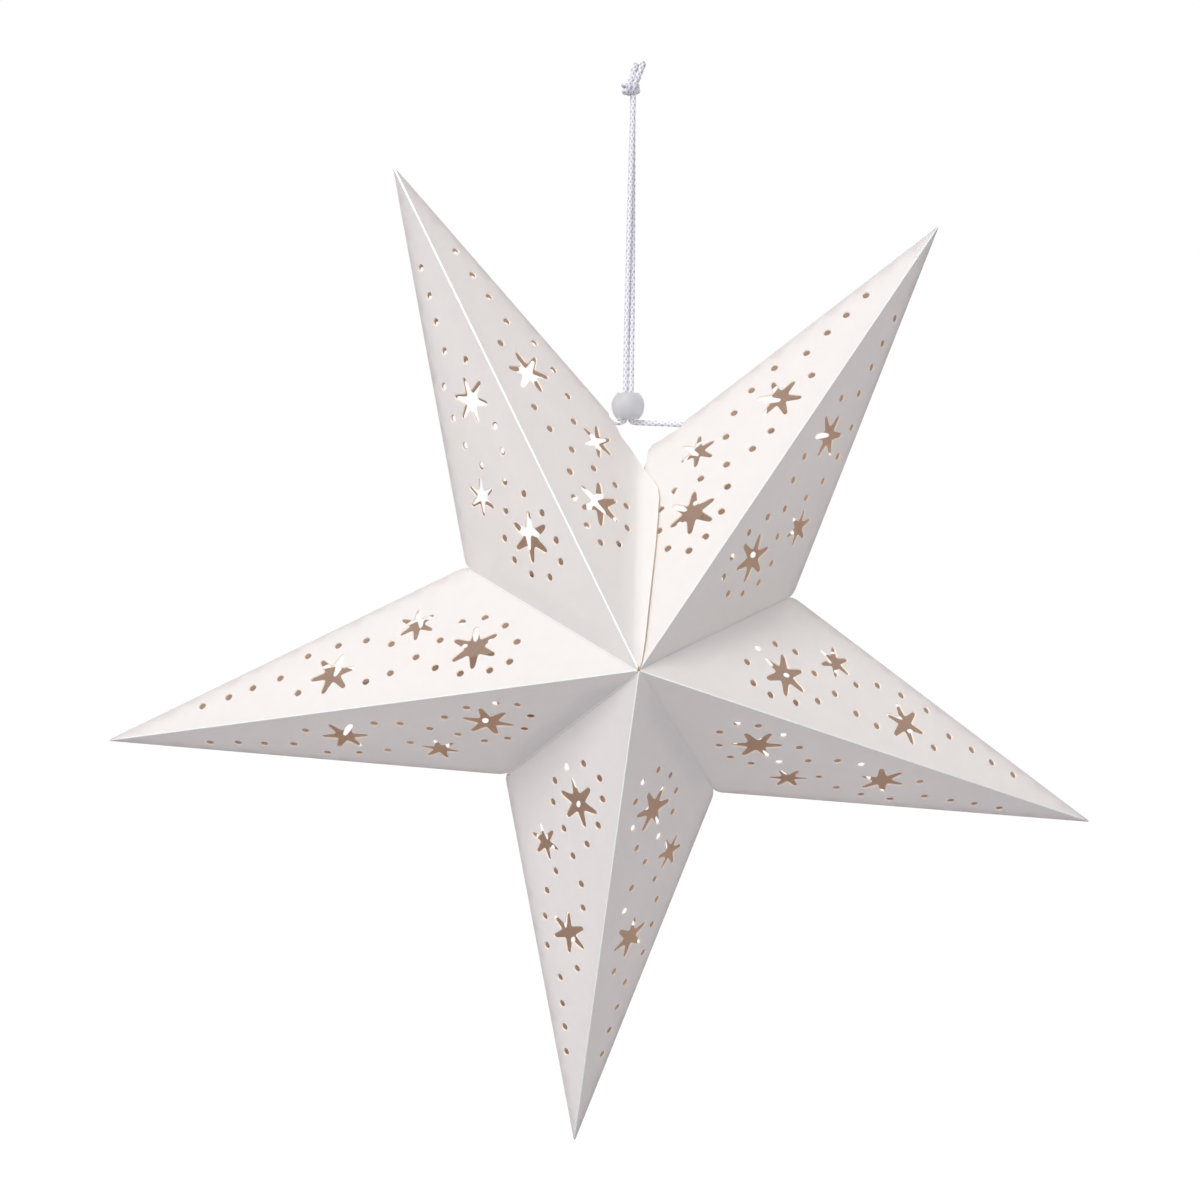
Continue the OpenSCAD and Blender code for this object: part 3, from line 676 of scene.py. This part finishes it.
def star_radius_at(angle, outer):
    """Six tapered fingers. From the middle of a ray outwards the radius is the tip's circle, then the
    finger's straight side, which touches that circle, then a parabola that rounds the notch."""
    a = np.abs(np.mod(angle + np.pi / 6, np.pi / 3) - np.pi / 6)
    centre = 1 - RAY_TIP_R
    x, y = RAY_NOTCH * np.cos(np.pi / 6) - centre, RAY_NOTCH * np.sin(np.pi / 6)
    lean = np.arcsin(RAY_TIP_R / np.hypot(x, y)) + np.arctan2(-x, y)
    far = centre * np.cos(lean) + RAY_TIP_R
    tip = centre * np.cos(a) + np.sqrt(np.clip(RAY_TIP_R ** 2 - (centre * np.sin(a)) ** 2, 0, None))
    side = far / np.cos(a - lean)
    touch = np.arctan2(RAY_TIP_R * np.sin(lean), centre + RAY_TIP_R * np.cos(lean))
    slope = far * np.sin(NOTCH_FROM - lean) / np.cos(NOTCH_FROM - lean) ** 2
    on = np.clip(a - NOTCH_FROM, 0, None)
    notch = far / np.cos(NOTCH_FROM - lean) + slope * (on - on ** 2 / (2 * (np.pi / 6 - NOTCH_FROM)))
    return outer * np.where(a < touch, tip, np.where(a < NOTCH_FROM, side, notch))


def hole_loops():
    """Outlines of the punched stars and dots, as a list of arrays."""
    angle = np.linspace(0, 2 * np.pi, 96, endpoint=False)
    loops = []
    for s, t, outer, turn in STARS:
        loops.append(facet_place(s, t) + polar(angle + np.radians(turn), star_radius_at(angle, outer)))
    angle = np.linspace(0, 2 * np.pi, 28, endpoint=False)
    for s, t in DOTS:
        loops.append(facet_place(s, t) + polar(angle, DOT_R))
    return loops


def in_holes(places, margin=0.0):
    """Which places lie in a punched hole, or nearer to it than a margin."""
    inside = np.zeros(len(places), bool)
    for s, t, outer, turn in STARS:
        away = places - facet_place(s, t)
        angle = np.arctan2(away[:, 1], away[:, 0]) - np.radians(turn)
        inside |= np.linalg.norm(away, axis=1) < star_radius_at(angle, outer) + margin
    for s, t in DOTS:
        inside |= np.linalg.norm(places - facet_place(s, t), axis=1) < DOT_R + margin
    return inside


def in_outline(places, outline):
    """Even-odd test: how often a line to the right of each place crosses the outline."""
    start, end = outline, np.roll(outline, -1, axis=0)
    x, y = places[:, 0:1], places[:, 1:2]
    crosses = (start[:, 1] > y) != (end[:, 1] > y)
    run, rise = (end - start).T
    slope = run / np.where(rise == 0, 1e-12, rise)
    return (np.sum(crosses & (x < start[:, 0] + slope * (y - start[:, 1])), axis=1) % 2) == 1


def rounded(corner, before, after, reach):
    """A small round at a corner: a quadratic curve from reach before it to reach after it."""
    a = corner + unit(before - corner) * reach
    b = corner + unit(after - corner) * reach
    t = np.linspace(0, 1, 6)[:, None]
    return a * (1 - t) ** 2 + 2 * corner * t * (1 - t) + b * t ** 2


def stepped(outline, step):
    """The outline with extra points on its long edges."""
    parts = []
    for p, q in zip(outline, np.roll(outline, -1, axis=0)):
        count = max(1, int(np.ceil(np.linalg.norm(q - p) / step)))
        parts.append(p + (q - p) * (np.arange(count) / count)[:, None])
    return np.vstack(parts)


CORNER_REACH = 4.6
# the facets end just short of the star's middle point
BLUNT = 1.1
INNER_START = np.array([BLUNT, 0])
MIDDLE, TIP = np.zeros(2), np.array([RIDGE_L, 0.0])
FOLD_WAY = unit(CORNER_UV - TIP)
FOLD_OUT = np.array([FOLD_WAY[1], -FOLD_WAY[0]])
SEAM_END = seam_place(SEAM_L, 0)
CUT_START = SEAM_END + unit(TIP - SEAM_END) * NOTCH_LENGTH
# round clearance for the cord at the corner of the cut: radius, turn in degrees and points
CLEARANCE_R, CLEARANCE_TURN, CLEARANCE_POINTS = 2.3, 112, 8
# the free edge of the cut, in the outlines of the facets beside the seam
CUT_EDGE = slice(2 + CLEARANCE_POINTS, 7 + CLEARANCE_POINTS)
# edge of the strip that laps over point 2: places along the seam line and past it
LAP_EDGE = ((3, 0.3), (12, 1.4), (46, 4.2), (82, 7.3), (110.5, 8.8), (117.5, 7.8), (125, 4.6))


def plain_outline():
    """Facet with two creased inner edges: blunt at the middle point, a small round at its corner."""
    return np.vstack([INNER_START, TIP, rounded(CORNER_UV, TIP, MIDDLE, CORNER_REACH),
                      VALLEY_WAY * BLUNT])


def seam_outline(*cut):
    """Facet beside the open seam: from the tip to the clearance, then through places along and
    across the seam line."""
    bearing = (np.arctan2(*(TIP - SEAM_END)[::-1])
               - np.radians(CLEARANCE_TURN) * np.linspace(0, 1, CLEARANCE_POINTS))
    return np.vstack([INNER_START, TIP, CUT_START + polar(bearing, CLEARANCE_R)]
                     + [seam_place(*place) for place in cut])


def under_outline(deeper=0.0):
    """Left half of point 2: its edge at the cut swings in and then dives under point 1. The back
    sheet is cut deeper, so that it doesn't show from the front."""
    return seam_outline((154.6 - deeper, 10.5 + deeper), (152.8 - deeper, 5.2 + deeper),
                        (149.5 - deeper, 3.0 + deeper), (141.5 - deeper, 1.6 + deeper / 2),
                        (133.5 - deeper, 0.5), (4, 0.5))


def over_outline():
    """Right half of point 1, flat: it runs past the seam line as the strip that laps over point 2."""
    return seam_outline((150.5, 15.5), (147.2, 10), (143.6, 6.2), (135, 1.2),
                        *((along, -past) for along, past in LAP_EDGE[::-1]))


# steps of the outline and of the net inside it, and the net's least distances to holes and border
OUTLINE_STEP, NET_STEP, ROW_STEP = 7.0, 9.0, 7.8
HOLE_MARGIN, BORDER_MARGIN = 1.6, 0.45


def flat_panel(outline, *extra):
    """A facet with its holes, from a Delaunay net with extra points where the card bends: its flat
    points, triangles and border edges, and how far each point moves on the inside of the card,
    where the holes are smaller."""
    outline = stepped(outline, OUTLINE_STEP)
    loops = [outline] + hole_loops()
    low, high = outline.min(0), outline.max(0)
    x, y = np.meshgrid(np.arange(low[0], high[0], NET_STEP), np.arange(low[1], high[1], ROW_STEP))
    x = x + NET_STEP / 2 * (np.arange(len(y)) % 2)[:, None]
    net = np.vstack([np.stack([x.ravel(), y.ravel()], 1), *extra])
    gap = np.linalg.norm(net[:, None] - outline[None], axis=2).min(1)
    net = net[in_outline(net, outline) & ~in_holes(net, HOLE_MARGIN) & (gap > BORDER_MARGIN)]
    points = np.vstack(loops + [net])
    lean = np.zeros_like(points)
    edges, start = [], 0
    for loop in loops:
        k = np.arange(len(loop))
        edges.append(np.stack([start + k, start + (k + 1) % len(loop)], 1))
        if start:
            way = unit(np.roll(loop, -1, axis=0) - np.roll(loop, 1, axis=0))
            lean[start:start + len(loop)] = PUNCH_LEAN * np.stack([-way[:, 1], way[:, 0]], 1)
        start += len(loop)
    edges = np.vstack(edges)
    out = delaunay_2d_cdt([Vector(p) for p in points.tolist()], edges.tolist(), [], 0, 1e-4)
    flat = np.array([list(v) for v in out[0]])
    lean = lean[[sources[0] for sources in out[3]]]
    triangles = np.array(out[2])
    centre = flat[triangles].mean(1)
    triangles = triangles[in_outline(centre, outline) & ~in_holes(centre)]
    a, b, c = (flat[triangles[:, k]] for k in range(3))
    area = np.cross(b - a, c - a)
    whole = np.abs(area) > 1e-7
    triangles, area = triangles[whole], area[whole]
    triangles[area < 0] = triangles[area < 0][:, ::-1]
    sides = np.vstack([triangles[:, pair] for pair in ([0, 1], [1, 2], [2, 0])])
    _, which, count = np.unique(np.sort(sides, axis=1), axis=0, return_inverse=True, return_counts=True)
    return flat, triangles, sides[count[which.ravel()] == 1], lean


class Panel:
    """Place of a facet in the star: its origin at the middle, the directions along its ridge and
    across towards its corner, and its outward normal."""

    def __init__(self, i, side):
        self.i, self.side = i, side
        middle = np.array([0, side * HALF_DEPTH, 0])
        self.along = unit(tip_of(i) - middle)
        to_corner = corner_of(i) - middle
        self.across = unit(to_corner - self.along * (to_corner @ self.along))
        self.axes = np.stack([self.along, self.across])
        up = np.cross(self.along, self.across)
        self.flip = (i % 2 == 0) == (side == BACK)
        self.out = -up if self.flip else up
        self.origin = middle + [0, 0, CENTRE_Z]

    def way(self, flat):
        """Direction in space of a flat one."""
        return flat @ self.axes

    def at(self, flat, height=0.0):
        """Points in space from flat places and a height over the middle of the card."""
        return self.origin + flat @ self.axes + np.multiply.outer(height, self.out)


def away_from(flat, outline):
    """Distance from flat places to an open row of points."""
    start, way = outline[:-1], np.diff(outline, axis=0)
    share = np.sum((flat[:, None] - start) * way, axis=2) / np.sum(way ** 2, axis=1)
    near = start + np.clip(share, 0, 1)[..., None] * way
    return np.linalg.norm(flat[:, None] - near, axis=2).min(1)


def fold_distance(flat):
    """Distance from flat places to the facet's outer fold."""
    return np.clip((TIP - flat) @ FOLD_OUT, 0, None)


# edge of a sheet beside its glued valley: where it slopes, and by how much
SHEET_EDGE_FROM, SHEET_EDGE_TO, SHEET_EDGE_STEP = 1.35, 1.6, 0.42
# swell of the card and its slow wave, and how far it rises from the outer fold, ridge and valley
SWELL, WAVE, FOLD_RISE, RIDGE_RISE, VALLEY_RISE = 1.8, 0.3, 3.2, 22, 30
# inward curl of the cut edges beside the seam
CURL, CURL_REACH = 0.9, 2.4
# dip of point 2 under the lap: depth, reach past the lap, width of its slope, length of its start
DIP, DIP_PAST, DIP_WIDTH, DIP_START = 1.2, 3.2, 4.2, 14


def bow(panel, flat):
    """How far the card swells from flat: nothing on its creases, and from each a rise of one less an
    exponential of the distance, squared at the pressed ridge and valley. Beside a glued valley the
    sheet ends just short of the crease, a card's thickness higher."""
    seam = panel.i in (0, 9)
    from_valley = flat @ (SEAM_IN if seam else VALLEY_IN)
    inside = ((1 - np.exp(-fold_distance(flat) / FOLD_RISE))
              * (1 - np.exp(-(flat[:, 1] / RIDGE_RISE) ** 2))
              * (1 - np.exp(-(np.clip(from_valley, 0, None) / VALLEY_RISE) ** 2)))
    phase = panel.i * 1.7 + panel.side * 0.9
    wave = np.sin(flat[:, 0] / 34 + phase) * np.cos(flat[:, 1] / 23 + 1.3 * phase)
    height = inside * (SWELL + WAVE * wave)
    if seam:
        outline = under_outline() if panel.i == 0 else over_outline()
        height = height - CURL * np.exp(-away_from(flat, outline[CUT_EDGE]) / CURL_REACH)
    if panel.i == 0:
        along = flat @ SEAM_WAY
        lap = np.interp(along, *zip(*LAP_EDGE), left=-9, right=-9)
        height = height - (DIP * smoothstep((lap + DIP_PAST - from_valley) / DIP_WIDTH)
                           * smoothstep(along / DIP_START))
    elif panel.i % 2 and not seam:
        step = np.clip((from_valley - SHEET_EDGE_FROM) / (SHEET_EDGE_TO - SHEET_EDGE_FROM), 0, 1)
        height = height - SHEET_EDGE_STEP * (1 - step)
    return height


LAP_BEND_R = 9.0
# gap under the lap: at the middle of the star, how much it opens outwards, and over what length
LAP_LEAST, LAP_GAP, LAP_RUN = 0.25, 1.6, 22


def lapped(panel, flat, height):
    """Facet of point 1 at the seam. Just before the seam it bends on a small radius until it runs
    beside the neighbouring facet, a little above it."""
    along, across = flat @ SEAM_WAY, flat @ SEAM_IN
    line, inwards = panel.way(SEAM_WAY), panel.way(SEAM_IN)
    next_in = Panel(0, panel.side).way(SEAM_IN)
    bend = np.arccos(np.clip(-inwards @ next_in, -1, 1))
    gap = LAP_GAP * smoothstep(along / LAP_RUN) + LAP_LEAST
    start = gap / np.sin(bend) + LAP_BEND_R * np.tan(bend / 2)
    travel = np.clip(start - across, 0, None)
    turned = np.clip(travel / LAP_BEND_R, 0, bend)
    straight = np.clip(travel - LAP_BEND_R * bend, 0, None)
    base = np.maximum(across, start)
    forward = LAP_BEND_R * np.sin(turned) + straight * np.cos(bend)
    rise = LAP_BEND_R * (1 - np.cos(turned)) + straight * np.sin(bend)
    normal = np.cos(turned)[:, None] * panel.out + np.sin(turned)[:, None] * inwards
    return (panel.origin + along[:, None] * line + (base - forward)[:, None] * inwards
            + rise[:, None] * panel.out + height[:, None] * normal)


def crease_rod(start, end, radius):
    """Straight rounded crease between two points: four rings, the outer two drawn in."""
    way = unit(end - start)
    side = unit(np.cross(way, [0.3, 1, 0.2]))
    other = np.cross(way, side)
    theta = np.linspace(0, 2 * np.pi, ROD_SIDES, endpoint=False)[:, None]
    ring = radius * (np.cos(theta) * side + np.sin(theta) * other)
    past = way * radius * 0.6
    rows = [start + ring * 0.5 - past, start + ring, end + ring, end + ring * 0.5 + past]
    return np.vstack(rows), tube_faces(4, ROD_SIDES)


def crease_lines(i, side):
    """Creases of a facet: flat start and end, radius and material. The radii of two that share a
    crease differ a little, so that their skins don't coincide."""
    plain = CARD_T / 2 - (0.04 if i % 2 else 0.01) - (0.015 if side == BACK else 0)
    # point 1's front ridge gets a thicker rod with a painted highlight
    highlighted_ridge = i == 8 and side == FRONT
    short = 0.6
    lines = [([2.0, 0], TIP - [short, 0], 0.65 if highlighted_ridge else plain, HIGHLIGHT_LINE if highlighted_ridge else OUTSIDE)]
    if i in (0, 9):
        way = unit(TIP - CUT_START)
        return lines + [(CUT_START + way * 3.0, TIP - way * short, plain, SHADE_LINE)]
    way, round_end = unit(TIP - CORNER_UV), CORNER_REACH + 0.4
    return lines + [
        (VALLEY_WAY * 2.0, CORNER_UV * (1 - round_end / VALLEY_L), plain - 0.07, OUTSIDE),
        (CORNER_UV + way * round_end, TIP - way * short, plain, SHADE_LINE)]


def make_panel(i, side, flat_parts):
    """One facet: the flat net bent to its place and given its thickness, white outside, painted warm
    brown inside and cream on its cut edges, with a rounded crease along each folded edge."""
    panel = Panel(i, side)
    flat, triangles, border, lean = flat_parts
    middle_height = bow(panel, flat)
    count = len(flat)
    half_t = CARD_T / 2 * np.clip((RIDGE_L - flat[:, 0]) / PRESSED_TIP, 0.08, 1)
    place = lapped if i == 9 else Panel.at
    outer = place(panel, flat, middle_height + half_t)
    inner = place(panel, flat + lean, middle_height - half_t)
    shell, edge = (rows[:, ::-1] if panel.flip else rows for rows in (triangles, border))
    walls = np.stack([edge[:, 1], edge[:, 0], edge[:, 0] + count, edge[:, 1] + count], 1)
    points = [outer, inner]
    faces = shell.tolist() + (shell[:, ::-1] + count).tolist() + walls.tolist()
    kinds = [OUTSIDE] * len(shell) + [INSIDE] * len(shell) + [CUT] * len(walls)
    if i in (1, 3, 5, 7):
        # the edge of the sheet beside its glued valley, drawn as a painted shade line
        depth = flat[triangles].mean(1) @ VALLEY_IN
        on_edge = (depth > SHEET_EDGE_FROM) & (depth < SHEET_EDGE_TO)
        kinds[:len(shell)] = np.where(on_edge, SHADE_LINE, OUTSIDE).tolist()
    total = 2 * count
    for start, end, radius, kind in crease_lines(i, side):
        rod_points, rod_faces = crease_rod(*panel.at(np.array([start, end])), radius)
        points.append(rod_points)
        faces += [[k + total for k in face] for face in rod_faces]
        kinds += [kind] * len(rod_faces)
        total += len(rod_points)
    half = "left" if i % 2 == 0 else "right"
    node = f"arm_{ARMS[i]}_{'front' if side == FRONT else 'back'}_{half}"
    piece = new_piece(node + "_card", np.vstack(points), faces, [CARD, WARM_INSIDE, RIDGE_HIGHLIGHT, CORE, FOLD_SHADE], 40,
                      kinds)
    # painted shade, strongest at the outer fold
    rubbed = np.zeros(total)
    rubbed[:2 * count] = np.tile(np.exp(-fold_distance(flat) / FOLD_SHADE_REACH), 2)
    tag(piece, "rubbed", rubbed)
    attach(piece, node)
    if i == 9:
        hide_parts(node, "seam_lap_front" if side == FRONT else "seam_lap_back")
    else:
        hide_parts(node)


def strip(way, inwards, runs, depths):
    """Flat places in rows beside a line: at each depth one at each run."""
    run, depth = (grid.ravel()[:, None] for grid in np.meshgrid(runs, depths))
    return way * run + inwards * depth


def make_star():
    """The twenty facets, with finer nets where a sheet ends beside a glued valley, where point 2 dips
    at the seam and where point 1 bends over it."""
    sheet_edge = strip(VALLEY_WAY, VALLEY_IN, np.arange(5, VALLEY_L - 5, 1.5),
                       (SHEET_EDGE_FROM, SHEET_EDGE_TO))
    # just past point 2's outer fold, where the edge of the cut swells out
    swell = TIP + strip(FOLD_WAY, FOLD_OUT, (201.2, 204.4, 207.6), 1.1)
    dip = strip(SEAM_WAY, SEAM_IN, np.arange(4, 150, 2.2), np.arange(1.2, 16, 1.7))
    bend = strip(SEAM_WAY, SEAM_IN, np.arange(8, 140, 2.0), np.arange(-9.5, 5.5, 0.8))
    plain = flat_panel(plain_outline())
    lipped = flat_panel(plain_outline(), sheet_edge)
    under = [flat_panel(under_outline(deeper), swell, dip) for deeper in (0.0, 2.4)]
    over = flat_panel(over_outline(), bend)
    for side in (FRONT, BACK):
        for i in range(10):
            beside_seam = {0: under[side == BACK], 9: over}
            make_panel(i, side, beside_seam.get(i, lipped if i % 2 else plain))


make_star()


# Carried-over parts

def dress(material, *nodes):
    """Gives CAD pieces their finish."""
    for node in nodes:
        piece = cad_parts[node]
        piece.data.materials.clear()
        piece.data.materials.append(material)


def dress_lamp():
    """Finishes of the glued flaps and of the lamp inside the star."""
    for side in ("front", "back"):
        # the glued flaps take the inside's painted warm brown
        dress(WARM_INSIDE, *(f"glue_flap_{side}_{pair}" for pair in ("2_3", "3_4", "4_5", "5_1")))
    dress(moulded_plastic("cream_abs", "#ded3bf", "#eae0cf", 0.45),
          "battery_case", "battery_cover", "lamp_base")
    dress(moulded_plastic("black_abs", "#242426", "#323235", 0.42), "switch_body", "switch_slider")
    dress(moulded_plastic("black_epoxy", "#1f1f21", "#2b2b2d", 0.35, 0.3), "board_chip")
    dress(moulded_plastic("opal_polycarbonate", "#f1ecdf", "#f8f4ea", 0.38, 0.8, 0.35), "globe")
    dress(plated_metal("nickel_plated_wire", "#b5b3ae", "#cfcdc8", 0.24), "lamp_ring")
    dress(plated_metal("spring_steel", "#a9a9ac", "#c6c6c8", 0.28), "contact_springs")
    dress(plated_metal("nickel_brass_strip", "#b9ad86", "#d2c8a4", 0.3, (0.1, 1, 1)), "contact_plates")
    dress(plated_metal("zinc_plated_screw", "#8f9196", "#b2b4b8", 0.33), "cover_screw", "board_screws")
    dress(solder_mask(), "led_board")
    dress(wire_sleeves(), "lamp_wires")
    dress(led_phosphor(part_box("leds")[0].z / MM), "leds")
    for k, code in ((1, "#4a7a58"), (2, "#3f6f8f"), (3, "#4a7a58")):
        low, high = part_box(f"cell_{k}")
        dress(cell_sleeve(f"cell_sleeve_{k}", code, low.z / MM, high.z / MM), f"cell_{k}")


dress_lamp()


# Floor, world and light

def by_ray(tree, out_kind, lit, seen):
    """Ends a node tree with two shaders: one for light, one for the camera, gloss and glass."""
    path = add_node(tree, "ShaderNodeLightPath").outputs
    share = path["Is Camera Ray"]
    for ray in ("Is Glossy Ray", "Is Transmission Ray"):
        share = add_node(tree, "ShaderNodeMath", {"operation": "MAXIMUM"}, in0=share,
                         in1=path[ray]).outputs[0]
    mix = add_node(tree, "ShaderNodeMixShader", in0=share, in1=lit.outputs[0], in2=seen.outputs[0])
    add_node(tree, out_kind, Surface=mix.outputs[0])


def make_floor():
    """Floor far below the star: almost white to the camera, gloss and glass, cool grey to light."""
    material, tree = new_material("pale_floor")
    grey = add_node(tree, "ShaderNodeBsdfDiffuse", Color=srgb("#b4b4ba"))
    pale = add_node(tree, "ShaderNodeBsdfDiffuse", Color=srgb("#f4f4f4"))
    white = add_node(tree, "ShaderNodeEmission", Color=(1, 1, 1, 1))
    view = add_node(tree, "ShaderNodeMixShader", in0=0.9, in1=pale.outputs[0], in2=white.outputs[0])
    by_ray(tree, "ShaderNodeOutputMaterial", grey, view)
    left, right, near, far, height = -6000, 6000, -5000, 9000, -1620
    corners = [(left, near, height), (right, near, height), (right, far, height), (left, far, height)]
    new_piece("floor", corners, [(0, 1, 2, 3)], [material])


def make_world():
    """Studio surroundings: white to the camera, gloss and glass. As light they are a soft gradient,
    dimmer and cooler below."""
    world = bpy.data.worlds.new("studio")
    bpy.context.scene.world = world
    world.use_nodes = True
    tree = world.node_tree
    tree.nodes.clear()
    way = add_node(tree, "ShaderNodeTexCoord").outputs["Generated"]
    # mostly by height, and a little by side, as from a pale wall on the right
    height = add_node(tree, "ShaderNodeVectorMath", {"operation": "DOT_PRODUCT"}, in0=way,
                      in1=(0.38, 0.0, 0.92)).outputs["Value"]
    share = add_node(tree, "ShaderNodeMapRange", Value=height, From_Min=-1.0, From_Max=1.0).outputs[0]
    tint = add_node(tree, "ShaderNodeValToRGB", in0=share)
    tint.color_ramp.elements[0].color = (0.20, 0.215, 0.28, 1)
    tint.color_ramp.elements[1].color = (0.50, 0.505, 0.52, 1)
    ambient = add_node(tree, "ShaderNodeBackground", Color=tint.outputs["Color"])
    white = add_node(tree, "ShaderNodeBackground", Color=(1, 1, 1, 1))
    by_ray(tree, "ShaderNodeOutputWorld", ambient, white)


def make_lights():
    """Three large soft lamps: the key up and to the left in front, a weak fill in front, and one
    behind, which shines through the card into the star."""
    for name, towards, energy, angle, colour in (
            ("soft_key", (-0.47, -0.57, 0.67), 2.6, 30, (1.0, 0.988, 0.97)),
            ("front_fill", (0.15, -1.0, 0.05), 1.0, 50, (0.985, 0.99, 1.0)),
            ("back_fill", (0.1, 0.9, 0.45), 1.7, 60, (1.0, 0.99, 0.975))):
        lamp = bpy.data.lights.new(name, "SUN")
        lamp.energy, lamp.angle, lamp.color = energy, np.radians(angle), colour
        put(name, lamp).rotation_euler = Vector(towards).to_track_quat("Z", "Y").to_euler()


make_floor()
make_world()
make_lights()
bpy.context.scene.view_settings.view_transform = "Standard"
